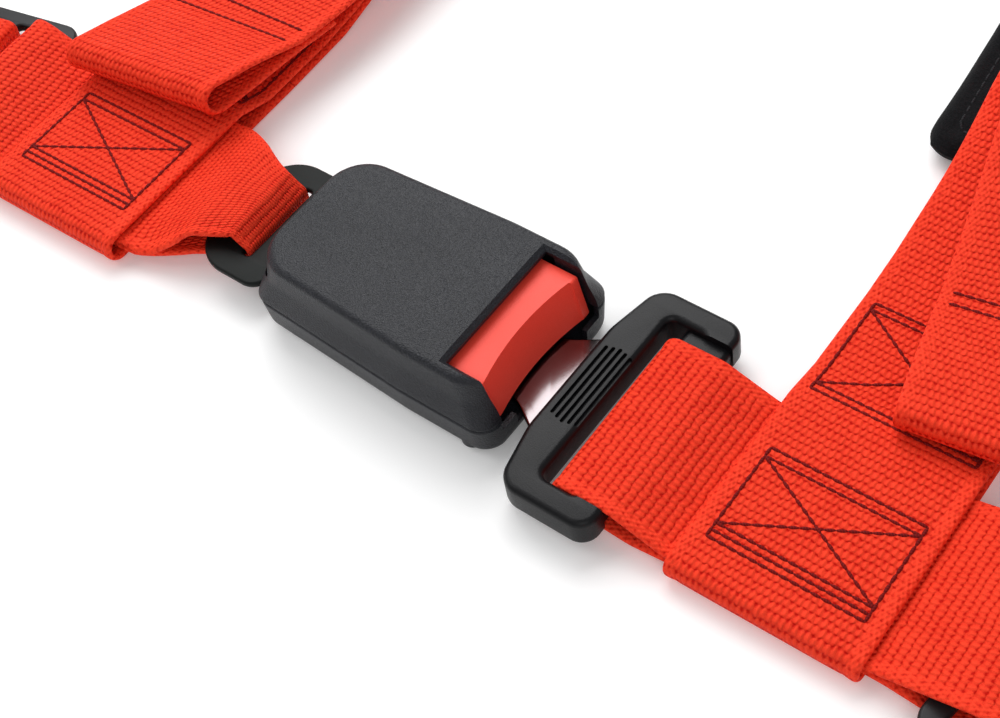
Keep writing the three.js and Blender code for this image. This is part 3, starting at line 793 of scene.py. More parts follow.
@dataclass(frozen=True)
class Felt:
    """Needled felt with short matted fibres that lie every way."""

    name: str
    bright: Colour
    deep: Colour

    def made(self) -> bpy.types.Material:
        """The material."""
        shader = Shader(
            self.name,
            {"Sheen Weight": 0.03, "Sheen Roughness": 0.5, "Specular IOR Level": 0.1},
        )
        lengthwise = shader.noise(shader.around((1.0, 0.28, 1.0), 25.0), 3200.0, 3.0)
        crosswise = shader.noise(shader.around((0.3, 1.0, 1.0), -20.0), 2900.0, 3.0)
        nap = shader.noise(shader.around(), 260.0, 3.0)
        fibres = shader.math("MAXIMUM", lengthwise, crosswise)
        colour = shader.blend(fibres.step(0.42, 0.72) * 0.8 + 0.3 * nap, self.deep, self.bright)
        return shader.dress(colour, 0.8 + 0.15 * fibres, fibres + 0.5 * nap, 0.3)


@dataclass(frozen=True)
class Moulded:
    """Moulded plastic with a spark-eroded grain, rubbed a little smoother in patches."""

    name: str
    bright: Colour
    deep: Colour
    gloss: float
    grain: float = 1500.0
    relief: float = 0.05
    shine: float = 0.2

    def made(self) -> bpy.types.Material:
        """The material."""
        shader = Shader(self.name, {"Specular IOR Level": self.shine})
        grain = shader.cells(shader.around(), self.grain)
        speck = shader.noise(shader.around(), self.grain * 1.7, 2.0)
        rubbed = shader.noise(shader.around((1.0, 1.6, 1.0), 30.0), 34.0, 4.0)
        colour = shader.blend(speck.step(0.3, 0.75) * 0.8 + rubbed * 0.2, self.deep, self.bright)
        rough = self.gloss + 0.12 * (1 - rubbed) + 0.1 * grain
        return shader.dress(colour, rough, grain * 0.7 + speck * 0.5, self.relief)


@dataclass(frozen=True)
class Metal:
    """Steel: polished, brushed one way, or blackened, with fine scratches and rubbed patches."""

    name: str
    bright: Colour
    deep: Colour
    gloss: float
    brush: float = 0.03
    relief: float = 0.01
    turn: float = 0.0
    metallic: float = 1.0

    def made(self) -> bpy.types.Material:
        """The material."""
        shader = Shader(self.name, {"Metallic": self.metallic})
        lines = shader.noise(shader.around((0.05, 1.0, 1.0), self.turn), 2400.0, 3.0)
        patches = shader.noise(shader.around(), 60.0, 4.0)
        colour = shader.blend(lines * 0.4 + patches * 0.7, self.deep, self.bright)
        rough = self.gloss + self.brush * lines + self.gloss * 0.5 * patches
        return shader.dress(colour, rough, lines, self.relief)


@dataclass(frozen=True)
class Painted:
    """The table's matt painted top, with a faint mottle."""

    name: str
    bright: Colour
    deep: Colour

    def made(self) -> bpy.types.Material:
        """The material."""
        shader = Shader(
            self.name,
            {"Specular IOR Level": 0.05, "Emission Color": (1.0, 1.0, 1.0), "Emission Strength": 0.12},
        )
        mottle = shader.noise(shader.around(), 3.0, 3.0)
        return shader.dress(shader.blend(mottle, self.deep, self.bright), 0.85 + 0.1 * mottle)


FINISHES = {
    # The webbings' deep colours are the painted shade that fills the weave's valleys and pits.
    Slot.RED_WEBBING: Webbing("red webbing", (0.98, 0.057, 0.022), (0.52, 0.004, 0.0004)),
    Slot.BLACK_WEBBING: Webbing("black webbing", (0.022, 0.022, 0.025), (0.004, 0.004, 0.005)),
    Slot.PAD_FABRIC: Felt("pad felt", (0.01, 0.01, 0.0115), (0.0015, 0.0015, 0.002)),
    Slot.HOUSING: Moulded(
        "grained housing", (0.024, 0.026, 0.035), (0.001, 0.001, 0.0015), 0.3, 2300.0, 0.17, 0.31
    ),
    Slot.GRIP: Moulded("smooth grip", (0.007, 0.007, 0.0085), (0.0025, 0.0025, 0.003), 0.26, 2600.0, 0.035),
    Slot.BUTTON: Moulded("button", (1.0, 0.08, 0.05), (0.92, 0.06, 0.036), 0.3, 2400.0, 0.01, 0.28),
    # The chrome's colours carry a faint warm, pinkish tint: a painted reflection of the red button.
    Slot.CHROME: Metal("chrome tinted with painted reflection", (0.27, 0.235, 0.24), (0.19, 0.165, 0.17), 0.1, 0.06, 0.003),
    Slot.DARK_STEEL: Metal(
        "dark steel", (0.012, 0.0135, 0.013), (0.005, 0.006, 0.0055), 0.4, 0.1, metallic=0.75
    ),
    Slot.BLACK_STEEL: Metal(
        "black steel", (0.024, 0.024, 0.026), (0.009, 0.009, 0.01), 0.34, 0.1, turn=30.0, metallic=0.6
    ),
    Slot.SPRING_STEEL: Metal("spring steel", (0.62, 0.63, 0.65), (0.4, 0.41, 0.43), 0.25, 0.12, 0.01),
    Slot.WHITE_PLASTIC: Moulded("white plastic", (0.78, 0.76, 0.7), (0.62, 0.6, 0.55), 0.4),
}


class Wardrobe:
    """Makes each finish once, and puts it on pieces with their slot, body and CAD node."""

    def __init__(self) -> None:
        """Start with nothing made."""
        self.made: dict[str, bpy.types.Material] = {}

    def material(self, finish: Any) -> bpy.types.Material:
        """The material of a finish, made once.

        Args:
            finish: One of the finish classes.

        Returns:
            The material.
        """
        if finish.name not in self.made:
            self.made[finish.name] = finish.made()
        return self.made[finish.name]

    def put(
        self,
        piece: bpy.types.Object,
        slot: Slot,
        body: str,
        replaces: Sequence[str] = (),
        finish: Any = None,
    ) -> bpy.types.Object:
        """Dress a piece, and hang it on its body.

        Args:
            piece: The piece.
            slot: Its material slot.
            body: The CAD body that it rides on.
            replaces: CAD nodes that it stands for.
            finish: Its finish, where that isn't the slot's own.

        Returns:
            The piece.
        """
        piece.data.materials.clear()
        piece.data.materials.append(self.material(finish or FINISHES[slot]))
        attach(piece, body)
        if replaces:
            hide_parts(*replaces)
        log.info("%s: %d faces on %s", piece.name, len(piece.data.polygons), body)
        return piece

    def keep(self, node: str, slot: Slot) -> None:
        """Give a CAD node that stays its finish.

        Args:
            node: The node's name.
            slot: Its material slot.
        """
        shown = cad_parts[node]
        shown.data.materials.clear()
        shown.data.materials.append(self.material(FINISHES[slot]))
        log.info("%s stays, in %s", node, slot.value)


WARDROBE = Wardrobe()
# Each thread's deep colour is the painted shade in the grooves between its strands.
RED_THREAD = Thread("maroon thread", (0.24, 0.007, 0.006), (0.09, 0.002, 0.002))
BLACK_THREAD = Thread("black thread", (0.03, 0.03, 0.034), (0.008, 0.008, 0.009))


# ---------------------------------------------------------------- webbing


@dataclass(frozen=True)
class Course:
    """A way over the table: straight up to `start`, then with a heading between (distance, degrees) knots."""

    start: float = 0.0
    knots: tuple[tuple[float, float], ...] = ((0.0, 0.0),)

    def at(self, u: np.ndarray) -> tuple[np.ndarray, np.ndarray]:
        """Place and heading at distances, from the running sum of the heading's cosine and sine.

        Args:
            u: Distances.

        Returns:
            Places as X and Y, and headings in radians.
        """
        reach = np.arange(-200.0, 520.5, 0.5)
        at, heading = zip(*self.knots)
        turn = np.radians(np.interp(reach + 0.25, at, heading))
        x = np.concatenate([[0.0], np.cumsum(np.cos(turn[:-1]) * 0.5)])
        y = np.concatenate([[0.0], np.cumsum(np.sin(turn[:-1]) * 0.5)])
        x += self.start - np.interp(self.start, reach, x)
        y -= np.interp(self.start, reach, y)
        place = np.stack([np.interp(u, reach, x), np.interp(u, reach, y)], axis=-1)
        return place, np.radians(np.interp(u, at, heading))


def full_width(u: np.ndarray) -> np.ndarray:
    """A band that is as wide as it was woven all along."""
    return np.full_like(u, WEB_WIDTH)


def no_lift(u: np.ndarray, z: np.ndarray, v: np.ndarray) -> np.ndarray:
    """A band that lies flat across its width."""
    return np.zeros(np.broadcast(u, v).shape)


def no_skew(u: np.ndarray, z: np.ndarray, v: np.ndarray) -> np.ndarray:
    """A band whose folds are square to its length."""
    return np.zeros((*np.broadcast(u, v).shape, 3))


SECTION_V = np.array([25, 24.93, 24.7, 24.3, 23.7, 23.0, 22.3, 21.7, 21.2, 20.6, 19, 16, 12, 8, 4, 0.0])
SECTION_H = np.array([0, 0.3, 0.58, 0.8, 0.9, 0.88, 0.8, 0.7, 0.68, 0.74, 0.78, 0.8, 0.8, 0.8, 0.8, 0.8])


@dataclass(frozen=True)
class Band:
    """A length of webbing carried along a route and over a course.

    A point at distance s along, v across and h above the band's middle is: the route's point at s, plus v
    along the horizontal that is square to the heading, plus h along the route's normal. The section has a
    rolled edge: the half-thickness falls to a groove 4 mm in, and rises again to a round selvedge.
    """

    name: str
    route: Sequence[Corner]
    place: Place
    course: Course = Course()
    width: Callable[[np.ndarray], np.ndarray] = full_width
    lift: Callable[[np.ndarray, np.ndarray, np.ndarray], np.ndarray] = no_lift
    skew: Callable[[np.ndarray, np.ndarray, np.ndarray], np.ndarray] = no_skew
    full: float = WEB_WIDTH

    def line(self) -> np.ndarray:
        """The route's middle line seen from the side, as distance and height."""
        return filled(rounded(self.route, SOFT_BEND), 2.0)

    def length(self) -> float:
        """The band's cut length in millimetres."""
        return float(np.linalg.norm(np.diff(self.line(), axis=0), axis=1).sum())

    def spread(self, line: np.ndarray, v: np.ndarray, h: np.ndarray) -> np.ndarray:
        """Points across the band.

        Args:
            line: The route's points.
            v: Distances across, one row to a route point.
            h: Distances along the normal.

        Returns:
            Points in the harness's frame.
        """
        along = unit(np.gradient(line, axis=0))
        place, heading = self.course.at(line[:, 0])
        c, s = np.cos(heading), np.sin(heading)
        across = np.stack([-s, c, np.zeros_like(c)], axis=1)
        up = np.stack([-along[:, 1] * c, -along[:, 1] * s, along[:, 0]], axis=1)
        ahead = np.stack([c, s, np.zeros_like(c)], axis=1)
        middle = np.column_stack([place, line[:, 1]])
        points = middle[:, None] + across[:, None] * v[..., None] + up[:, None] * h[..., None]
        drift = self.skew(line[:, :1], line[:, 1:], v)
        points = points + ahead[:, None] * drift[..., :1] + across[:, None] * drift[..., 1:2]
        points[..., 2] += drift[..., 2]
        return self.place.carry(points)

    def surface(self) -> Surface:
        """The whole band as one closed shell, with its map in metres along and across."""
        line = self.line()
        scale = self.full / WEB_WIDTH
        v_half = np.concatenate([SECTION_V, -SECTION_V[-2::-1]]) * scale
        h_half = np.concatenate([SECTION_H, SECTION_H[-2::-1]])
        woven = np.concatenate([v_half, v_half[-2:0:-1]])
        height = np.concatenate([h_half, -h_half[-2:0:-1]])
        squeeze = (self.width(line[:, 0]) / self.full)[:, None]
        v = woven[None] * squeeze
        rise = height[None] + self.lift(line[:, :1], line[:, 1:], v)
        points = self.spread(line, v, rise)
        far = np.concatenate([[0.0], np.cumsum(np.linalg.norm(np.diff(line, axis=0), axis=1))])
        places = np.stack(np.broadcast_arrays(far[:, None], woven[None]), axis=-1).reshape(-1, 2) * MM
        shell = lofted(points)
        return replace(shell, places=places)

    def legs(self) -> list[np.ndarray]:
        """The route's points split into stretches that run one way, as row numbers."""
        step = np.sign(np.diff(np.round(self.line()[:, 0], 6)))
        known = np.maximum.accumulate(np.where(step != 0, np.arange(len(step)), 0))
        cuts = np.flatnonzero(np.diff(step[known]) != 0) + 1
        return [np.append(part, part[-1] + 1) for part in np.split(np.arange(len(step)), cuts)]

    def on(self, leg: int, u: np.ndarray, v: np.ndarray, face: int) -> tuple[np.ndarray, np.ndarray]:
        """Points on the band's face, and the face's normals.

        Args:
            leg: Which stretch.
            u: Distances along the course.
            v: Distances across.
            face: 1 for the side that the route's normal points to, and -1 for the other.

        Returns:
            Points and normals.
        """
        line = self.line()
        rows = self.legs()[leg]
        order = np.argsort(line[rows, 0], kind="stable")
        at = np.interp(u, line[rows, 0][order], rows[order])
        part, along = (
            np.stack([np.interp(at, np.arange(len(line)), values) for values in table.T], axis=1)
            for table in (line, np.gradient(line, axis=0))
        )
        along = unit(along)
        place, heading = self.course.at(part[:, 0])
        c, s = np.cos(heading), np.sin(heading)
        across = np.stack([-s, c, np.zeros_like(c)], axis=1)
        up = np.stack([-along[:, 1] * c, -along[:, 1] * s, along[:, 0]], axis=1) * face
        middle = np.column_stack([place, part[:, 1]])
        drift = self.skew(part[:, :1], part[:, 1:], v[:, None])[:, 0]
        ahead = np.stack([c, s, np.zeros_like(c)], axis=1)
        points = middle + across * (v + drift[:, 1])[:, None] + ahead * drift[:, :1] + up * WEB_HALF
        points[:, 2] += drift[:, 2]
        return self.place.carry(points), self.place.turned(up)


@dataclass(frozen=True)
class Seam:
    """One straight line of sewing on a leg of a band, from (u, v) to (u, v)."""

    leg: int
    start: tuple[float, float]
    end: tuple[float, float]
    face: int = 1


def box_seams(
    leg: int, low: Sequence[float], high: Sequence[float], half: float, face: int = 1
) -> list[Seam]:
    """A crossed box of sewing.

    Args:
        leg: The leg that it is sewn on.
        low: Distances of the rows at its lower end, the outermost first.
        high: Distances of the rows at its upper end, the outermost first.
        half: Half its width.
        face: The side of the band.

    Returns:
        The seams: the rows, the two sides and the two diagonals.
    """
    rows = [Seam(leg, (u, -half), (u, half), face) for u in (*low, *high)]
    sides = [Seam(leg, (low[0], v), (high[0], v), face) for v in (-half, half)]
    ends = [((low[-1], -half), (high[-1], half)), ((low[-1], half), (high[-1], -half))]
    return rows + sides + [Seam(leg, start, end, face) for start, end in ends]


def anchor_seams(leg: int, u: float) -> list[Seam]:
    """The crossed box that closes a strap's loop round an anchor tab at distance u."""
    return box_seams(leg, (u - 74, u - 71.5), (u - 46, u - 48.5), 21, -1)


@dataclass(frozen=True)
class Sewing:
    """Thread laid along seams: each stitch is a spindle that dips into the webbing at both ends.

    A stitch's ring at t from -1/2 to 1/2 has a radius of the thread's times the root of (1 - 2.4 t²), and
    its middle is lowered by the dip times 4 t². Neighbours overlap a little, as twisted lockstitch does.
    """

    thread: float = 0.46
    pitch: float = 2.7
    dip: float = 0.2

    def along(self, path: np.ndarray, normals: np.ndarray) -> Surface:
        """Stitches along a path.

        Args:
            path: Points of the path.
            normals: The surface's normals there.

        Returns:
            The stitches.
        """
        far = np.concatenate([[0.0], np.cumsum(np.linalg.norm(np.diff(path, axis=0), axis=1))])
        count = max(1, round(far[-1] / self.pitch))
        pitch = far[-1] / count
        middle = (np.arange(count) + 0.5) * pitch
        centre = np.stack([np.interp(middle, far, path[:, i]) for i in range(3)], axis=1)
        normal = unit(np.stack([np.interp(middle, far, normals[:, i]) for i in range(3)], axis=1))
        ahead = np.stack([np.interp(middle + 0.4, far, path[:, i]) for i in range(3)], axis=1)
        behind = np.stack([np.interp(middle - 0.4, far, path[:, i]) for i in range(3)], axis=1)
        along = unit(ahead - behind)
        across = np.cross(along, normal)
        t = np.array([-0.54, -0.44, -0.22, 0.0, 0.22, 0.44, 0.54])
        turn = np.arange(6) * pi / 3
        radius = self.thread * np.sqrt(1 - 2.4 * t * t)
        low = -self.dip * 4 * t * t
        axis = centre[:, None] + along[:, None] * (t * pitch)[None, :, None]
        axis = axis + normal[:, None] * low[None, :, None]
        ring = across[:, None] * np.cos(turn)[None, :, None] + normal[:, None] * np.sin(turn)[None, :, None]
        points = axis[:, :, None] + ring[:, None] * radius[None, :, None, None]
        one = [*grid_faces(len(t), 6), [5, 4, 3, 2, 1, 0], list(range(6 * len(t) - 6, 6 * len(t)))]
        size = 6 * len(t)
        faces = [[i + size * k for i in face] for k in range(count) for face in one]
        shape = (count, len(t), len(turn))
        far_along = np.broadcast_to((t * pitch)[None, :, None], shape)
        places = np.stack([far_along, np.broadcast_to(turn / (2 * pi), shape)], axis=-1)
        return Surface(points.reshape(-1, 3), faces, places.reshape(-1, 2) * MM)

    def on_band(self, band: Band, seams: Sequence[Seam]) -> Surface:
        """All the stitches of a band's seams.

        Args:
            band: The band.
            seams: Its seams.

        Returns:
            The stitches as one surface.
        """
        sewn: Surface | None = None
        for seam in seams:
            share = np.linspace(0, 1, 60)
            u = seam.start[0] + (seam.end[0] - seam.start[0]) * share
            v = seam.start[1] + (seam.end[1] - seam.start[1]) * share
            part = self.along(*band.on(seam.leg, u, v, seam.face))
            sewn = part if sewn is None else sewn.joined(part)
        return sewn


def lay_band(
    band: Band,
    slot: Slot,
    body: str,
    seams: Sequence[Seam] = (),
) -> bpy.types.Object:
    """Args:
        band: The band.
        slot: Its material slot.
        body: The body that it rides on.
        seams: Its seams.

    Returns:
        The band's object.
    """
    made = WARDROBE.put(band.surface().made(band.name), slot, body, [band.name])
    if seams:
        thread = RED_THREAD if slot is Slot.RED_WEBBING else BLACK_THREAD
        sewing = Sewing().on_band(band, seams).made(f"{band.name}_stitching", 60)
        WARDROBE.put(sewing, slot, body, finish=thread)
    flat = (band.full * MM, band.length() * MM)
    return made


# ---------------------------------------------------------------- buckle


@dataclass
class Buckle:
    """The buckle: two moulded covers over a steel frame, with the release button in front."""

    rear: float = HOUSING_REAR
    front: float = HOUSING_FRONT
    rear_half: float = 23.4
    front_half: float = 26.2
    base: float = 0.3
    seam: float = 11.0
    top: float = 25.4
    wall: float = 2.2
    gap: float = 0.3
    recess_half: float = 19.8
    button_half: float = 19.2
    button_top: float = 21.6
    frame_low: float = 7.1
    frame_high: float = 9.1
    ear_half: float = 20.5
    neck_half: float = 14.0
    screws: tuple[tuple[str, float, float], ...] = (
        ("rear_left", -56.0, 17.6),
        ("rear_right", -56.0, -17.6),
        ("front_left", 6.5, 22.4),
        ("front_right", 6.5, -22.4),
    )

    def ring(self, by: float, radii: tuple[float, float], z: float, ends: float = 0.6) -> np.ndarray:
        """The housing's outline at one height.

        Args:
            by: How far its sides are drawn in.
            radii: Radii of the rear and the front corners.
            z: The height.
            ends: How much of that the two ends are drawn in.

        Returns:
            A ring of points, always as many.
        """
        rear, front = self.rear + by * ends, self.front - by * ends
        back, wide = self.rear_half - by, self.front_half - by
        corners = [
            (rear, -back, radii[0]),
            (-12.0, -wide, 60.0),
            (front, -wide, radii[1]),
            (front, wide, radii[1]),
            (-12.0, wide, 60.0),
            (rear, back, radii[0]),
        ]
        line = rounded(corners, closed=True, steps=20)
        return np.column_stack([line, np.full(len(line), z)])

    def shell(self, section: Sequence[Corner], radii: Callable[[float], tuple[float, float]]) -> Surface:
        """A shell whose sides follow a rounded section of (drawn in, height, radius).

        Args:
            section: The section's corners, from the bottom up.
            radii: Radii of the rear and front corners at a height.

        Returns:
            The closed shell.
        """
        side = filled(rounded(section), 1.2)
        return lofted(np.stack([self.ring(by, radii(z), z) for by, z in side]))

    def upper_cover(self) -> None:
        """The top cover, with its recess, chamfered all round, and the room inside."""
        low = self.seam + self.gap
        section = [
            (0.5, low),
            (0.0, low + 0.5, 0.4),
            (0.25, low + 1.4, 3),
            (2.3, 18.4, 7),
            (2.9, self.top - 0.15, 2.1),
            (9.0, self.top),
        ]
        outside = self.shell(section, lambda z: (5 + 0.45 * (z - low), 5 + 0.4 * (z - low)))
        room = [(2.6, self.seam - 1), (3.4, 19.0, 2), (6.4, self.top - self.wall)]
        inside = self.shell(room, lambda z: (4.0, 0.5))
        inside.points[:, 0] = np.minimum(inside.points[:, 0], 2.5)
        half, rise = self.recess_half, 1.1
        recess = block((0.0, -half, 0.0), (self.front + 5, half, self.top + 5))
        mouth = np.array([[0.0, half, self.top - rise], [-1.5, half + 1.3, self.top + 0.12]])
        end = self.front + 9
        rings = [np.array([[x, -y, z], [end, -y, z], [end, y, z], [x, y, z]]) for x, y, z in mouth]
        cover = outside.made("upper_cover")
        carved(cover, [(Cut.TAKE, inside), (Cut.TAKE, recess), (Cut.TAKE, lofted(np.stack(rings)))])
        WARDROBE.put(cover, Slot.HOUSING, "buckle_side", ["upper_cover"])

    def lower_cover(self) -> None:
        """The bottom cover, with the tongue's mouth, the frame's slot and the screws' seats."""
        section = [
            (3.4, self.base),
            (2.2, self.base, 1.2),
            (0.7, self.base + 2.4, 4),
            (0.0, self.seam - 0.5, 1),
            (0.5, self.seam),
        ]
        outside = self.shell(section, lambda z: (6.0, 5.5))
        inside = self.shell([(3.2, self.base + self.wall), (2.2, self.seam + 1)], lambda z: (4.0, 4.0))
        tools = [(Cut.TAKE, inside)]
        for _, x, y in self.screws:
            tools.append((Cut.JOIN, rod(x, y, self.base + 1, self.seam, 3.2)))
            tools.append((Cut.TAKE, rod(x, y, -1, self.seam + 1, 1.5)))
            tools.append((Cut.TAKE, rod(x, y, -1, self.base + 2, 2.9)))
        neck = self.neck_half + self.gap
        low, high = self.frame_low - self.gap, self.frame_high + self.gap
        tools.append((Cut.TAKE, block((self.rear - 2, -neck, low), (self.rear + self.wall + 2, neck, high))))
        for half, floor in ((14.5, 3.8), (self.recess_half, 7.6)):
            tools.append((Cut.TAKE, block((9, -half, floor), (self.front + 2, half, self.seam + 1))))
        cover = carved(outside.made("lower_cover"), tools)
        WARDROBE.put(cover, Slot.HOUSING, "buckle_side", ["lower_cover"])

    def frame(self) -> None:
        """The steel frame with its two rounded ears, the webbing's slot and the two flanges."""
        rear, ear, neck = -91.0, self.ear_half, self.neck_half
        outline = [
            (3.0, -neck, 1.5),
            (3.0, neck, 1.5),
            (self.rear - 0.6, neck, 1.5),
            (self.rear - 3.5, ear, 5.5),
            (rear, ear, 13.5),
            (rear, -ear, 13.5),
            (self.rear - 3.5, -ear, 5.5),
            (self.rear - 0.6, -neck, 1.5),
        ]
        holes = [
            rectangle(-77.6, -13.0, -75.0, 13.0, 1.0),
            rectangle(-15.5, -6, -8, 6, 1),
            rectangle(-49.9, 5.1, -46.1, 8.9, 1.9),
            rectangle(-49.9, -8.9, -46.1, -5.1, 1.9),
        ]
        made = plate(outline, self.frame_low, self.frame_high, 0.75, holes, 4).made("buckle_frame")
        sides = []
        for side in (-1, 1):
            near, far = sorted((side * 11.2, side * 13.2))
            sides.append((Cut.JOIN, block((-34, near, 3.2), (3.0, far, self.frame_low + 0.9))))
        WARDROBE.put(carved(made, sides), Slot.DARK_STEEL, "buckle_side", ["buckle_frame"])

    def button(self) -> None:
        """The red button: a block with eased edges, whose dished front slopes out towards the tongue."""
        outline = [
            (-14.0, 12.6, 0.5),
            (7.4, 12.6, 0.5),
            (9.2, 8.4, 0.6),
            (12.4, 8.4, 0.8),
            (9.9, self.button_top, 0.8),
            (-14.0, self.button_top, 1.0),
        ]
        half = self.button_half
        body = plate(outline, -half, half, 0.6).standing().made("release_button")
        inside = block((-20, -half + 2.2, 12), (6.2, half - 2.2, self.button_top - 1.8))
        turn = np.arange(256) * 2 * pi / 256
        ring = np.stack([74 * np.cos(turn) + 74, np.minimum(74 * np.sin(turn), half - 2.6), 0 * turn], axis=1)
        dish = lofted(np.stack([ring + [0, 0, z] for z in (-30.0, 30.0)]))
        lean = radians(-11.1)
        spin = np.array([[cos(lean), 0, -sin(lean)], [0, 1, 0], [sin(lean), 0, cos(lean)]])
        dish = replace(dish, points=dish.points @ spin + [8.6, 0, 15])
        tools = [(Cut.TAKE, inside), (Cut.TAKE, dish)]
        for hand in (-1, 1):
            wedge = [(-24.5, 10.2, 0), (7.6, 10.2, 0), (7.6, 12.7, 0), (-18, 12.2, 0), (-24.5, 10.8, 0)]
            arm = plate(wedge, hand * 8.5 - 1.6, hand * 8.5 + 1.6, 0.2).standing()
            tools.append((Cut.JOIN, arm))
        WARDROBE.put(carved(body, tools, 24), Slot.BUTTON, "button", ["release_button"])

    def inner(self) -> None:
        """The pieces inside, which keep their shape from the frame."""
        for name in ("latch_blade", "latch_rivet_left", "latch_rivet_right"):
            WARDROBE.keep(name, Slot.SPRING_STEEL)
        WARDROBE.keep("ejector", Slot.WHITE_PLASTIC)
        for name, _, _ in self.screws:
            WARDROBE.keep(f"cover_screw_{name}", Slot.DARK_STEEL)

    def springs(self) -> None:
        """The ejector's spring and the button's two: wires along helices round the X axis."""
        for name, start, end, y, z, radius, wire, turns in (
            ("ejector_spring", -59.5, -37.4, 0.0, 4.7, 1.7, 0.4, 7),
            ("button_spring_left", -30.4, -14.3, 17.5, 16.0, 1.8, 0.35, 6),
            ("button_spring_right", -30.4, -14.3, -17.5, 16.0, 1.8, 0.35, 6),
        ):
            turn = np.linspace(0, 2 * pi * turns, turns * 24 + 1)
            x = np.linspace(start + wire, end - wire, len(turn))
            path = np.stack([x, y + radius * np.cos(turn), z + radius * np.sin(turn)], axis=1)
            WARDROBE.put(tube(path, wire, 8).made(name), Slot.SPRING_STEEL, "buckle_side", [name])

    def build(self) -> None:
        """Build the whole buckle."""
        self.upper_cover()
        self.lower_cover()
        self.frame()
        self.button()
        self.springs()
        self.inner()


# ---------------------------------------------------------------- tongue


@dataclass
class Tongue:
    """The tongue: a polished steel plate, and the moulded grip that holds the lap strap."""

    low: float = 4.4
    thick: float = 2.4
    blade_half: float = 10.5
    grip_left: float = 20.0
    grip_right: float = 49.0
    grip_half: float = 34.0
    slot_left: float = 31.0
    slot_half: float = 27.0

    def steel(self) -> None:
        """The steel plate, with the latch's window and the slot inside the grip."""
        half, flare, edge = self.blade_half, 16.0, 30.0
        outline = [
            (-26.0, -half, 3),
            (11.0, -half, 12),
            (19.5, -flare, 7),
            (24.5, -flare, 1),
            (24.5, -edge, 1.5),
            (47.0, -edge, 1.5),
            (47.0, edge, 1.5),
            (24.5, edge, 1.5),
            (24.5, flare, 1),
            (19.5, flare, 7),
            (11.0, half, 12),
            (-26.0, half, 3),
        ]
        holes = [rectangle(29, -28, 37, 28, 1), rectangle(-18, -5.5, -10.4, 5.5, 1)]
        made = plate(outline, self.low, self.low + self.thick, 0.6, holes, 5).made("tongue_plate", 30)
        WARDROBE.put(made, Slot.CHROME, "tongue_side", ["tongue_plate"])

    def grip(self) -> None:
        """The grip: a rounded plate with the webbing's slot, a padded bar and five thumb grooves."""
        left, right, half = self.grip_left, self.grip_right, self.grip_half
        outline = [
            (left, -17.0, 22),
            (left + 3.4, -half, 6.5),
            (right, -half, 5),
            (right, half, 5),
            (left + 3.4, half, 6.5),
            (left, 17.0, 22),
        ]
        slot = rectangle(self.slot_left, -self.slot_half, right - 7, self.slot_half, 2.4)
        made = plate(outline, 2.4, 11.4, 1.7, [slot], 6).made("tongue_grip")
        opening = block((right - 9, -self.slot_half, 0), (right + 1, self.slot_half, 20))
        section = [(35.0, 3.6, 2.6), (right - 0.5, 3.6, 1.6), (right - 0.5, 9.0, 1.6), (35.0, 9.0, 2.6)]
        tools = [
            (Cut.TAKE, opening),
            (Cut.JOIN, plate(section, -self.slot_half - 2, self.slot_half + 2, 0).standing()),
        ]
        for i in range(5):
            x = 22.6 + 1.75 * i
            reach = 12.6 - 0.5 * abs(i - 2)
            groove = plate(rectangle(x, -reach, x + 1.0, reach, 0.5), 10.3, 13.0, 0)
            tools.append((Cut.TAKE, groove))
        tools.append((Cut.TAKE, block((left - 2, -16.3, 4.1), (26, 16.3, 7.1))))
        WARDROBE.put(carved(made, tools), Slot.GRIP, "tongue_side", ["tongue_grip"])

    def build(self) -> None:
        """Build the tongue."""
        self.steel()
        self.grip()


# ---------------------------------------------------------------- adjusters and tabs


@dataclass(frozen=True)
class Slide:
    """A three-bar adjuster: a pressed plate with two slots. Distances start at its front bar."""

    thick: float = 3.0
    half: float = 32.5
    slot_half: float = 27.5
    front_bar: float = 3.0
    middle_bar: float = 18.5
    slot_two: float = 24.5
    rear_bar: float = 30.5
    end: float = 38.5
    up: float = 16.3
    down: float = 27.5

    @property
    def over(self) -> float:
        """Distance from the plate's middle to the middle of webbing that lies over it."""
        return self.thick / 2 + WEB_CLEAR + WEB_HALF

    def through(self, z: float) -> list[Corner]:
        """The webbing's way: down the first slot, under the middle bar, up the second, over the rear bar."""
        return [
            (self.up, z + self.over + LAYER + SPARE, 1.8),
            (self.up, z - self.over, 1.8),
            (self.down, z - self.over, 1.8),
            (self.down, z + self.over, 1.8),
            (self.end + 2, z + self.over, 8),
        ]

    def build(self, name: str, place: Place, z: float, body: str) -> None:
        """Make the adjuster.

        Args:
            name: The piece's name.
            place: Where its front bar lies.
            z: Height of the plate's middle.
            body: The body that it rides on.
        """
        outline = rectangle(-self.front_bar, -self.half, self.end, self.half, 6)
        holes = [
            rectangle(self.front_bar, -self.slot_half, self.middle_bar, self.slot_half, 2),
            rectangle(self.slot_two, -self.slot_half, self.rear_bar, self.slot_half, 2),
        ]
        shape = plate(outline, z - self.thick / 2, z + self.thick / 2, 1.0, holes, 4)
        WARDROBE.put(shape.carried(place).made(name), Slot.BLACK_STEEL, body, [name])


SLIDE = Slide()


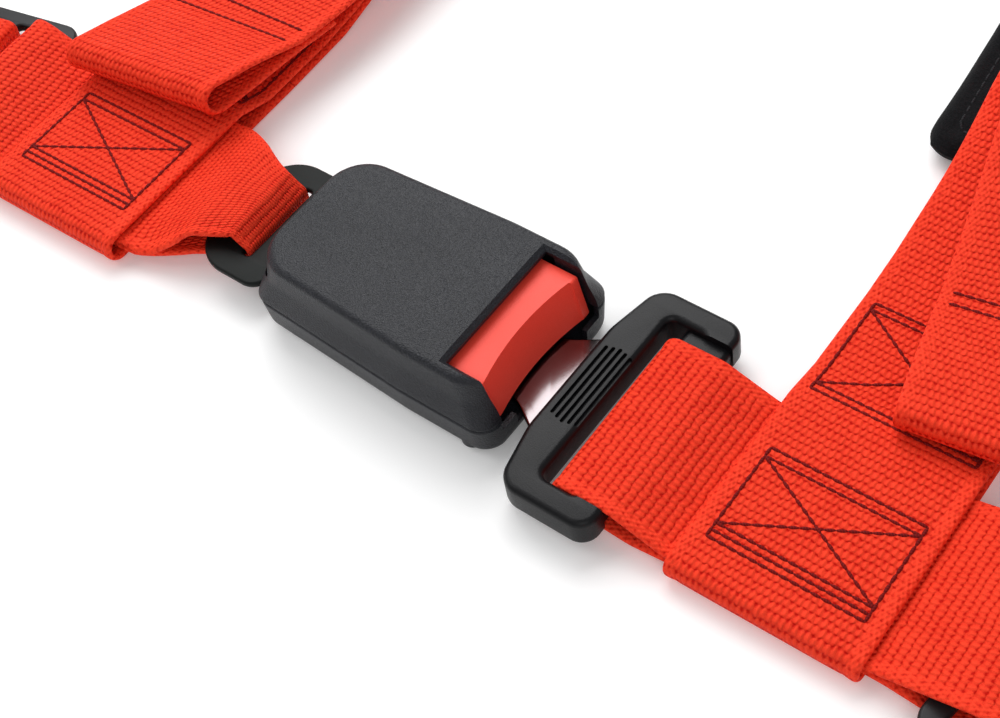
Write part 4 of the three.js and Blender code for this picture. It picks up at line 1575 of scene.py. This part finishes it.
@dataclass(frozen=True)
class AnchorTab:
    """A cranked steel tab: a slot for the webbing, a step down, and a flat end with the bolt hole."""

    thick: float = 3.0
    bar_half: float = 4.0
    slot_end: float = 17.0
    bolt_at: float = 46.0
    bolt_radius: float = 5.75
    end_radius: float = 16.0
    half: float = 32.5
    loop: float = 5.8

    @property
    def axis(self) -> float:
        """Height of the bar that the webbing turns round."""
        return self.loop + WEB_HALF

    def webbing(self, u: float) -> list[Corner]:
        """The webbing's way round the bar and back onto itself."""
        return [
            (u + self.loop, WEB_HALF, self.loop),
            (u + self.loop, self.axis + self.loop, self.loop),
            (u - 8, self.axis + self.loop),
            (u - 42, WEB_HALF + LAYER),
            (u - 78, WEB_HALF + LAYER),
        ]

    def shape(self) -> Surface:
        """The tab: a flat plate whose points are carried onto the cranked line.

        A point at distance s along the flat plate and h above its middle goes to the cranked line's point
        at s plus h along its normal.
        """
        end = self.bolt_at + self.end_radius
        outline = [
            (-self.bar_half, -self.half, 5),
            (self.slot_end + 3, -self.half, 8),
            (self.bolt_at - 4, -self.end_radius, 12),
            (end, -self.end_radius, self.end_radius),
            (end, self.end_radius, self.end_radius),
            (self.bolt_at - 4, self.end_radius, 12),
            (self.slot_end + 3, self.half, 8),
            (-self.bar_half, self.half, 5),
        ]
        slot = rectangle(self.bar_half, -27.5, self.slot_end, 27.5, 2)
        r, at = self.bolt_radius, self.bolt_at
        hole = rectangle(at - r, -r, at + r, r, r)
        return plate(outline, -self.thick / 2, self.thick / 2, 0.7, [slot, hole], 3)

    def build(self, name: str, place: Place, body: str) -> None:
        """Make the tab.

        Args:
            name: The piece's name.
            place: Where its bar lies.
            body: The body that it rides on.
        """
        made = self.shape().made(name)
        cuts = bmesh.new()
        cuts.from_mesh(made.data)
        for u in np.arange(self.slot_end + 0.5, self.slot_end + 13.0, 0.75):
            edge = Vector((ORIGIN[0] + u * MM, 0, 0))
            geometry = [*cuts.verts, *cuts.edges, *cuts.faces]
            bmesh.ops.bisect_plane(cuts, geom=geometry, plane_co=edge, plane_no=Vector((1, 0, 0)))
        cuts.to_mesh(made.data)
        cuts.free()
        bent = place.carry(self.cranked(points_of(made.data)))
        made.data.vertices.foreach_set("co", (ORIGIN + bent * MM).astype(np.float32).ravel())
        made.data.update()
        made.data.shade_smooth()
        made.data.set_sharp_from_angle(angle=radians(SHARP))
        WARDROBE.put(made, Slot.BLACK_STEEL, body, [name])

    def cranked(self, flat: np.ndarray) -> np.ndarray:
        """Flat points carried onto the cranked line, by its point and normal at each point's X.

        Args:
            flat: Points of the flat plate.

        Returns:
            Points of the cranked plate.
        """
        route = [
            (-self.bar_half - 2, self.axis),
            (self.slot_end + 2, self.axis, 4),
            (self.slot_end + 9, self.thick / 2, 4),
            (self.bolt_at + self.end_radius + 2, self.thick / 2),
        ]
        line = filled(rounded(route), 0.25)
        along = unit(np.gradient(line, axis=0))
        x, height = flat[:, 0], flat[:, 2]
        z = np.interp(x, line[:, 0], line[:, 1])
        slope = np.stack([np.interp(x, line[:, 0], along[:, i]) for i in (0, 1)], axis=1)
        return np.stack([x - slope[:, 1] * height, flat[:, 1], z + slope[:, 0] * height], axis=1)


TAB = AnchorTab()


# ---------------------------------------------------------------- the two arms


def left_lap_width(u: np.ndarray) -> np.ndarray:
    """The left lap strap is gathered to 25 mm where it goes through the buckle's frame."""
    return 25.0 + 25.0 * (0.5 * smooth(u, -58, -28) + 0.5 * np.clip((u + 56) / 27, 0, 1))


def left_lap_lift(u: np.ndarray, z: np.ndarray, v: np.ndarray) -> np.ndarray:
    """Before it is gathered, the near edge curls down by the cube of the distance across; then it crowns."""
    low, high = smooth(z, 5.0, 5.6) * smooth(-u, 20, 30), smooth(z, 7.4, 8.6)
    curl = smooth(u, -47, -39) * smooth(-u, 25, 33)
    crown = 1.4 * smooth(-u, 42, 54) * smooth(u, -62, -57) * (v / 13.0) ** 2
    near, far = np.maximum(v, 0) / 24.0, np.maximum(-v, 0) / 24.0
    return -np.maximum(low, high) * (crown + curl * (3.4 * near**3 + 0.8 * far**3))


def left_tail_skew(u: np.ndarray, z: np.ndarray, v: np.ndarray) -> np.ndarray:
    """The left tail's fold slants across it: the pull tab is folded a little out of square."""
    share = smooth(-u, 70, 128) * smooth(z, 9, 11)
    return np.stack(np.broadcast_arrays(-0.24 * v * share, 1.5 * share, -0.03 * v * share), axis=-1)


def right_tail_skew(u: np.ndarray, z: np.ndarray, v: np.ndarray) -> np.ndarray:
    """The right tail's fold slants the other way, and lies a little further up the strap."""
    share = smooth(-u, 60, 115) * smooth(z, 6, 8)
    return np.stack(np.broadcast_arrays((2.5 + 0.1 * v) * share, 0.6 * share, 0.0 * v), axis=-1)


@dataclass(frozen=True)
class Arm:
    """One side's lap and shoulder straps, with where they cross and how they lie."""

    side: Side
    centre: tuple[float, float]
    lap_turn: float
    shoulder_turn: float
    layers: tuple[float, float, float, float]
    fold_at: float
    droop: float
    lean: float
    lap_bar: tuple[float, float]
    lap_route: tuple[Corner, ...]
    lap_width: Callable[[np.ndarray], np.ndarray]
    lap_lift: Callable[[np.ndarray, np.ndarray, np.ndarray], np.ndarray]
    tail_route: tuple[Corner, ...]
    tail_course: tuple[tuple[float, float], ...]
    tail_rows: tuple[float, float]
    tail_skew: Callable[[np.ndarray, np.ndarray, np.ndarray], np.ndarray]
    body: str
    shoulder_bar: tuple[float, float] = (160.0, 16.5)
    lap_anchor: float = 250.0
    shoulder_anchor: float = 430.0

    def named(self, base: str) -> str:
        """A piece's name on this side."""
        return f"{base}_{self.side.value}"

    def lap(self) -> None:
        """The doubled lap strap, its adjuster, and the outer strap with its pull tab and anchor."""
        at = Place(*self.centre, self.lap_turn)
        name = self.named("lap_loop_strap")
        loop = Band(name, self.lap_route, at, width=self.lap_width, lift=self.lap_lift)
        lay_band(loop, Slot.RED_WEBBING, self.body)
        bar_u, bar_z = self.lap_bar
        outer = at.inside(bar_u, 0.0, self.droop)
        SLIDE.build(self.named("lap_adjuster"), outer, bar_z, self.body)
        route = [
            (102, 2.9),
            (150, 2.9, 3.3),
            (150, 9.5, 3.3),
            (128, 6.2),
            (106, 5),
            (80, 5),
            (44, bar_z + SLIDE.over + LAYER + SPARE),
            *SLIDE.through(bar_z),
            (66, WEB_HALF),
            *TAB.webbing(self.lap_anchor),
        ]
        strap = Band(self.named("lap_anchor_strap"), route, outer)
        u = self.lap_anchor
        seams = [Seam(1, (row, -ROW_HALF), (row, ROW_HALF), -1) for row in (110.0, 114.5)]
        seams += anchor_seams(3, u)
        lay_band(strap, Slot.RED_WEBBING, self.body, seams)
        TAB.build(self.named("lap_anchor_tab"), outer.inside(u, 0, 0), f"lap_tab_{self.side.value}")

    def shoulder(self, pad_cover: Surface) -> None:
        """The sewn shoulder strap, its adjuster, the upper strap with its pull tab, the pad and the anchor.

        Args:
            pad_cover: The pad's finished cover, about its middle.
        """
        at = Place(*self.centre, self.shoulder_turn)
        under, _, _, top = self.layers
        bar_u, bar_z = self.shoulder_bar
        fold = (top - under) / 2
        sewn = under + 2 * LAYER - 0.4
        route = [
            (48.0, under),
            (self.fold_at, under, fold),
            (self.fold_at, top, fold),
            (27.5, top, 8),
            (39, sewn, 8),
            (64, sewn),
            (78, 5.8),
            (105, 11.4),
            (133, 18),
            (150, bar_z + SLIDE.over),
            (bar_u + SLIDE.front_bar + 1.5, bar_z + SLIDE.over, SLIDE.over),
            (bar_u + SLIDE.front_bar + 1.5, bar_z - SLIDE.over, SLIDE.over),
            (132, 11.2),
            (112, 10),
            (72, 1.5),
            (48.5, under),
        ]
        course = Course(0.0, ((95.0, 0.0), (125.0, self.lean)))
        loop = Band(self.named("shoulder_loop_strap"), route, at, course)
        crossing = ((-16.4, -14.4, -12.4), (11.4, 8.7), 20.15)
        seams = box_seams(1, *crossing) + box_seams(1, (31.0, 33.2), (62.0, 59.8), 21.5)
        seams += box_seams(0, *crossing)
        lay_band(loop, Slot.RED_WEBBING, self.body, seams)
        place, _ = course.at(np.array([bar_u]))
        upper = at.inside(float(place[0, 0]), float(place[0, 1]), self.lean)
        SLIDE.build(self.named("shoulder_adjuster"), upper, bar_z, self.body)
        rest = PAD.rest
        route = [
            *self.tail_route,
            *SLIDE.through(bar_z),
            (SLIDE.end + 32, rest),
            (PAD.travel_end, rest),
            (PAD.travel_end + 28, WEB_HALF),
            *TAB.webbing(self.shoulder_anchor),
        ]
        u = self.shoulder_anchor
        seams = [Seam(1, (row, -ROW_HALF), (row, ROW_HALF)) for row in self.tail_rows]
        seams += anchor_seams(2, u)
        course = Course(SLIDE.up, self.tail_course)
        strap = Band(self.named("shoulder_anchor_strap"), route, upper, course, skew=self.tail_skew)
        lay_band(strap, Slot.RED_WEBBING, self.body, seams)
        TAB.build(self.named("shoulder_anchor_tab"), upper.inside(u, 0, 0), f"shoulder_tab_{self.side.value}")
        PAD.build(self.side, upper, pad_cover)


# ---------------------------------------------------------------- pads


@dataclass(frozen=True)
class Pad:
    """A padded sleeve under the shoulder strap: a felt cover over foam, sewn all round, with two keepers.

    Distances start at the adjuster's front bar.
    """

    front: float = -45.0
    rear: float = 230.0
    width: float = 76.0
    thick: float = 8.5
    corner: float = 9.0
    travel_end: float = 275.0
    keepers: tuple[tuple[str, float], ...] = (("lower", 95.0), ("upper", 205.0))
    keeper_width: float = 25.0
    seam_in: float = 8.0
    seam_deep: float = 0.9
    start_thinner: float = 1.8
    swell: float = 1.1
    cell: float = 2.5

    @property
    def length(self) -> float:
        """The pad's length."""
        return self.rear - self.front

    @property
    def rest(self) -> float:
        """Height of the middle of webbing that lies on the pad."""
        return self.thick + WEB_CLEAR + WEB_HALF

    def from_edge(self, x: np.ndarray, y: np.ndarray) -> np.ndarray:
        """How far points are inside the rounded outline, by the distance to its inner rectangle.

        Args:
            x: Distances along from the pad's middle.
            y: Distances across.

        Returns:
            The distances to the outline, which are below zero outside it.
        """
        over_x = np.abs(x) - (self.length / 2 - self.corner)
        over_y = np.abs(y) - (self.width / 2 - self.corner)
        outside = np.hypot(np.maximum(over_x, 0), np.maximum(over_y, 0))
        return self.corner - outside - np.minimum(np.maximum(over_x, over_y), 0)

    def blank(self) -> Surface:
        """The pad before it swells: two sheets over a rounded rectangle that meet at its edge.

        Each corner's square is drawn into its quarter circle by its larger over its true distance. The
        sheets stand at half the thickness times the fourth root of (1 - (1 - d / r)⁴), where d is the
        distance to the edge and r the reach of the rounded side.
        """
        columns, rows = int(self.length / self.cell) + 1, int(self.width / self.cell) + 1
        a, b = np.meshgrid(np.linspace(-1, 1, columns), np.linspace(-1, 1, rows), indexing="ij")
        x, y = a * self.length / 2, b * self.width / 2
        inner_x, inner_y = self.length / 2 - self.corner, self.width / 2 - self.corner
        over_x, over_y = np.maximum(np.abs(x) - inner_x, 0), np.maximum(np.abs(y) - inner_y, 0)
        pull = np.maximum(np.maximum(over_x, over_y), 1e-9) / np.maximum(np.hypot(over_x, over_y), 1e-9)
        x = np.sign(x) * (np.minimum(np.abs(x), inner_x) + over_x * pull)
        y = np.sign(y) * (np.minimum(np.abs(y), inner_y) + over_y * pull)
        rise = (1 - np.clip(1 - self.from_edge(x, y) / 5.0, 0, 1) ** 4) ** 0.25
        half = (self.thick - self.start_thinner) / 2 * rise
        sheets = [np.stack([x, y, self.thick / 2 + side * half], axis=-1).reshape(-1, 3) for side in (1, -1)]
        faces = np.array(grid_faces(columns, rows, closed=False))
        return Surface(np.vstack(sheets), [*faces.tolist(), *(faces[:, ::-1] + columns * rows).tolist()])

    def cover(self) -> Surface:
        """The cover filled with foam, by a short cloth simulation under pressure, with its movement capped.

        Returns:
            The cover about the pad's middle.
        """
        made = self.blank().made("pad cover")
        weld = made.modifiers.new("weld", "WELD")
        weld.merge_threshold = 0.02 * MM
        welded = bpy.data.meshes.new_from_object(made.evaluated_get(bpy.context.evaluated_depsgraph_get()))
        made.modifiers.clear()
        made.data = welded
        outward(welded)
        points = points_of(welded)
        points = points + self.swelling(made, points)
        faces = [tuple(face.vertices) for face in welded.polygons]
        bpy.data.objects.remove(made)
        return Surface(self.quilted(points), faces)

    def swelling(self, made: bpy.types.Object, points: np.ndarray) -> np.ndarray:
        """How far the cover's points move under pressure in twenty frames, no further than the cap.

        Args:
            made: The cover.
            points: Its points.

        Returns:
            The movement.
        """
        cloth = made.modifiers.new("cloth", "CLOTH")
        cloth.settings.use_pressure = True
        cloth.settings.uniform_pressure_force = 4.0
        cloth.settings.effector_weights.gravity = 0.0
        scene = bpy.context.scene
        for step in range(1, 21):
            scene.frame_set(step)
        moved = points_of(made.evaluated_get(bpy.context.evaluated_depsgraph_get()).data) - points
        made.modifiers.clear()
        scene.frame_set(1)
        far = np.linalg.norm(moved, axis=1, keepdims=True)
        return moved * np.minimum(1.0, self.swell / np.maximum(far, 1e-9))

    def quilted(self, points: np.ndarray) -> np.ndarray:
        """Press the sewn channel in, hold the cover within its outline, and rest it on the table.

        The channel is a bell curve of the distance to the seam. The foam is crowned by a millimetre at most.

        Args:
            points: The swollen cover.

        Returns:
            The finished cover.
        """
        x, y, z = points.T
        inside = self.from_edge(x, y)
        above = np.tanh((z - self.thick / 2) / 1.5)
        channel = self.seam_deep * np.exp(-(((inside - self.seam_in) / 1.3) ** 2))
        wave = 0.18 * np.sin(x / 13.0 + 0.6 * np.sin(y / 9.0)) * np.cos(y / 11.0) * smooth(inside, 3, 12)
        z = z - channel * above + wave * np.maximum(above, 0)
        x = np.clip(x, -self.length / 2 - 0.3, self.length / 2 + 0.3)
        y = np.clip(y, -self.width / 2 - 0.3, self.width / 2 + 0.3)
        return np.stack([x, y, np.clip(z, 0.05, self.thick + 0.1)], axis=1)

    def build(self, side: Side, upper: Place, cover: Surface) -> None:
        """Make one pad with its sewing and its two keepers.

        Args:
            side: The side.
            upper: Place of the adjuster's front bar.
            cover: The finished cover, about the pad's middle.
        """
        name, body = f"shoulder_pad_{side.value}", f"pad_{side.value}"
        place = upper.inside((self.front + self.rear) / 2, 0.0, 0.0)
        made = cover.carried(place).made(name, 60)
        finer = made.modifiers.new("finer", "SUBSURF")
        finer.levels = finer.render_levels = 1
        WARDROBE.put(made, Slot.PAD_FABRIC, body, [name])
        self.seam(cover.points, place, name, body)
        for which, u in self.keepers:
            self.keeper(f"pad_keeper_{which}_{side.value}", upper.inside(u, 0.0, 90.0), body)

    def seam(self, points: np.ndarray, place: Place, name: str, body: str) -> None:
        """The seam all round the pad's top.

        Each of its points takes the height of the nearest point of the cover's upper sheet.

        Args:
            points: The cover's points.
            place: The pad's middle.
            name: The pad's name.
            body: The body that it rides on.
        """
        half_x, half_y = self.length / 2 - self.seam_in, self.width / 2 - self.seam_in
        loop = rounded(rectangle(-half_x, -half_y, half_x, half_y, 4), closed=True)
        path = filled(np.vstack([loop, loop[:1]]), 2.0)
        top = points[points[:, 2] > self.thick / 2]
        nearest = np.argmin(((path[:, None] - top[None, :, :2]) ** 2).sum(axis=2), axis=1)
        path = np.column_stack([path, top[nearest, 2] + 0.12])
        normals = np.tile([0.0, 0.0, 1.0], (len(path), 1))
        sewn = Sewing(thread=0.4, pitch=3.2).along(path, normals).carried(place)
        WARDROBE.put(sewn.made(f"{name}_stitching", 60), Slot.PAD_FABRIC, body, finish=BLACK_THREAD)

    def keeper(self, name: str, place: Place, body: str) -> None:
        """A short band across the strap, sewn to the pad at both ends.

        Args:
            name: The keeper's name.
            place: Its middle, turned across the strap.
            body: The body that it rides on.
        """
        raised = self.rest + LAYER + WEB_CLEAR
        half = [(27.2, raised, 1.5), (29.0, self.rest, 1.5), (36.0, self.rest)]
        route = [(-u, *rest) for u, *rest in half[::-1]] + half
        band = Band(name, route, place, lift=keeper_lift, full=self.keeper_width, width=keeper_width)
        seams = [Seam(0, (side * u, -10), (side * u, 10)) for side in (-1, 1) for u in (31.2, 34.2)]
        lay_band(band, Slot.BLACK_WEBBING, body, seams)


def keeper_width(u: np.ndarray) -> np.ndarray:
    """A keeper is as wide as it was woven all along."""
    return np.full_like(u, PAD.keeper_width)


def keeper_lift(u: np.ndarray, z: np.ndarray, v: np.ndarray) -> np.ndarray:
    """A keeper's ends are sewn down onto the pad's falling edge."""
    return -0.35 * smooth(np.abs(u), 29, 36) + 0.0 * v


PAD = Pad()


ARMS = (
    Arm(
        side=Side.LEFT,
        centre=(-137.1, -2.9),
        lap_turn=182.9,
        shoulder_turn=91.0,
        layers=(0.8, 3.2, 5.6, 8.0),
        fold_at=-28.0,
        droop=8.0,
        lean=-5.0,
        lap_bar=(40.5, 5.4),
        lap_route=(
            (-6, 3.2),
            (-26, 3.2),
            (-44, 5.2),
            (-60.9, 5.2, 2.9),
            (-60.6, 9.8, 1.2),
            (-56.4, 14.8, 3),
            (-45, 13.6, 8),
            (-27, 5.6, 8),
            (26, 5.6),
            (45, 13.6),
            (51, 14.2, 5.5),
            (51, 1.6, 5.5),
            (36, 1.6),
            (27, 3.2),
            (-2, 3.2),
        ),
        lap_width=left_lap_width,
        lap_lift=left_lap_lift,
        tail_route=(
            (-94, 13.2),
            (-109, 12.8),
            (-126, 11.8),
            (-144, 11.8, 5.2),
            (-144, 22, 5.2),
            (-128, 19.2),
            (-108, 15),
            (-80, 16),
            (-55, 17.6),
            (-40, 19.6),
            (-10, 21.4),
        ),
        tail_course=((-100, -3), (-60, 8), (-20, 8), (5, 0)),
        tail_rows=(-111.0, -104.0),
        tail_skew=left_tail_skew,
        body="buckle_side",
    ),
    Arm(
        side=Side.RIGHT,
        centre=(90.8, -1.3),
        lap_turn=0.7,
        shoulder_turn=90.7,
        layers=(0.8, 2.8, 4.8, 6.8),
        fold_at=-27.0,
        droop=-8.0,
        lean=5.0,
        lap_bar=(46.0, 5.4),
        lap_route=(
            (-6, 2.8),
            (-26, 2.8),
            (-36, 1.4),
            (-44, 2.4),
            (-57, 2.4, 3.9),
            (-57, 10.2, 3.9),
            (-41, 10.2, 8),
            (-26, 4.8, 8),
            (26, 4.8),
            (50, 11.8),
            (57, 12.2, 5.3),
            (57, 1.5, 5.3),
            (40, 1.5),
            (30, 2.8),
            (-2, 2.8),
        ),
        lap_width=full_width,
        lap_lift=no_lift,
        tail_route=(
            (-82, 10),
            (-94, 9.4),
            (-115, 8.8),
            (-133, 9, 3.1),
            (-133, 15.2, 3.1),
            (-115, 14.4),
            (-92, 11.6),
            (-70, 14),
            (-55, 16.2),
            (-40, 19.4),
            (-10, 21.4),
        ),
        tail_course=((-40, 8), (-18, 14), (5, 0)),
        tail_rows=(-95.5, -91.0),
        tail_skew=right_tail_skew,
        body="tongue_side",
    ),
)


# ---------------------------------------------------------------- studio


@dataclass(frozen=True)
class Studio:
    """A white table, soft light from large panels, and the camera."""

    azimuth: float = 47.146
    elevation: float = 53.049
    roll: float = -12.245
    distance: float = 432.26
    target: tuple[float, float, float] = (1.297, -3.831, 8.0)
    lens: float = 63.297

    def camera(self) -> None:
        """The camera: behind the target by its azimuth and elevation, and rolled about its view."""
        a, e, r = radians(self.azimuth), radians(self.elevation), radians(self.roll)
        back = Vector((sin(a) * cos(e), -cos(a) * cos(e), sin(e)))
        right = (-back).cross(Vector((0, 0, 1))).normalized()
        up = right.cross(-back)
        side = cos(r) * right + sin(r) * up
        head = cos(r) * up - sin(r) * right
        turn = Matrix((side, head, back)).transposed().to_4x4()
        data = bpy.data.cameras.new("camera")
        data.lens = self.lens
        data.sensor_width = 36.0
        data.clip_start, data.clip_end = 0.01, 20.0
        camera = bpy.data.objects.new("camera", data)
        at = Vector(ORIGIN.tolist()) + (Vector(self.target) + back * self.distance) * MM
        camera.matrix_world = Matrix.Translation(at) @ turn
        bpy.context.scene.collection.objects.link(camera)
        bpy.context.scene.camera = camera

    def panel(self, name: str, at: Corner, size: float, power: float, aim: Corner = (0.0, 0.0, 0.0)) -> None:
        """A square light panel.

        Args:
            name: Its name.
            at: Its place, in metres.
            size: Its side, in metres.
            power: Its power, in watts.
            aim: What it faces.
        """
        data = bpy.data.lights.new(name, "AREA")
        data.shape = "SQUARE"
        data.size = size
        data.energy = power
        light = bpy.data.objects.new(name, data)
        light.location = at
        light.rotation_euler = (Vector(aim) - Vector(at)).to_track_quat("-Z", "Y").to_euler()
        bpy.context.scene.collection.objects.link(light)

    def world(self) -> None:
        """An even pale surround."""
        world = bpy.data.worlds.new("surround")
        world.use_nodes = True
        background = world.node_tree.nodes["Background"]
        background.inputs["Color"].default_value = (1.0, 1.0, 1.0, 1.0)
        background.inputs["Strength"].default_value = 0.38
        bpy.context.scene.world = world

    def table(self) -> None:
        """The table's top: a wide sheet that dips by a hair away from the harness."""
        u = np.linspace(-2600, 2600, 21)
        x, y = np.meshgrid(u, u, indexing="ij")
        z = -0.6 - 0.0000002 * (x * x + y * y)
        points = np.stack([x, y, z], axis=-1).reshape(-1, 3)
        under = points - [0, 0, 20]
        faces = np.array(grid_faces(21, 21, closed=False))
        surface = Surface(np.vstack([points, under]), [*faces.tolist(), *(faces + 441).tolist()])
        made = surface.made("table")
        paint = Painted("table paint", (0.96, 0.96, 0.96), (0.93, 0.93, 0.93))
        made.data.materials.append(WARDROBE.material(paint))

    def build(self) -> None:
        """Set up the table, the lights and the camera."""
        self.camera()
        self.world()
        self.table()
        self.panel("key panel", (-0.78, 0.62, 1.35), 1.4, 27.0)
        self.panel("front panel", (1.1, -1.3, 1.4), 1.0, 7.0)
        self.panel("side panel", (-1.3, -0.7, 1.5), 1.2, 9.0)
        view = bpy.context.scene.view_settings
        view.view_transform = "Standard"
        view.look = "None"


def main() -> None:
    """Build the harness: studio, buckle, tongue, then each side's lap and shoulder straps."""
    logging.basicConfig(level=logging.INFO, format="%(message)s")
    Studio().build()
    Buckle().build()
    Tongue().build()
    pad_cover = PAD.cover()
    for arm in ARMS:
        arm.lap()
        arm.shoulder(pad_cover)


if __name__ == "__main__":
    main()
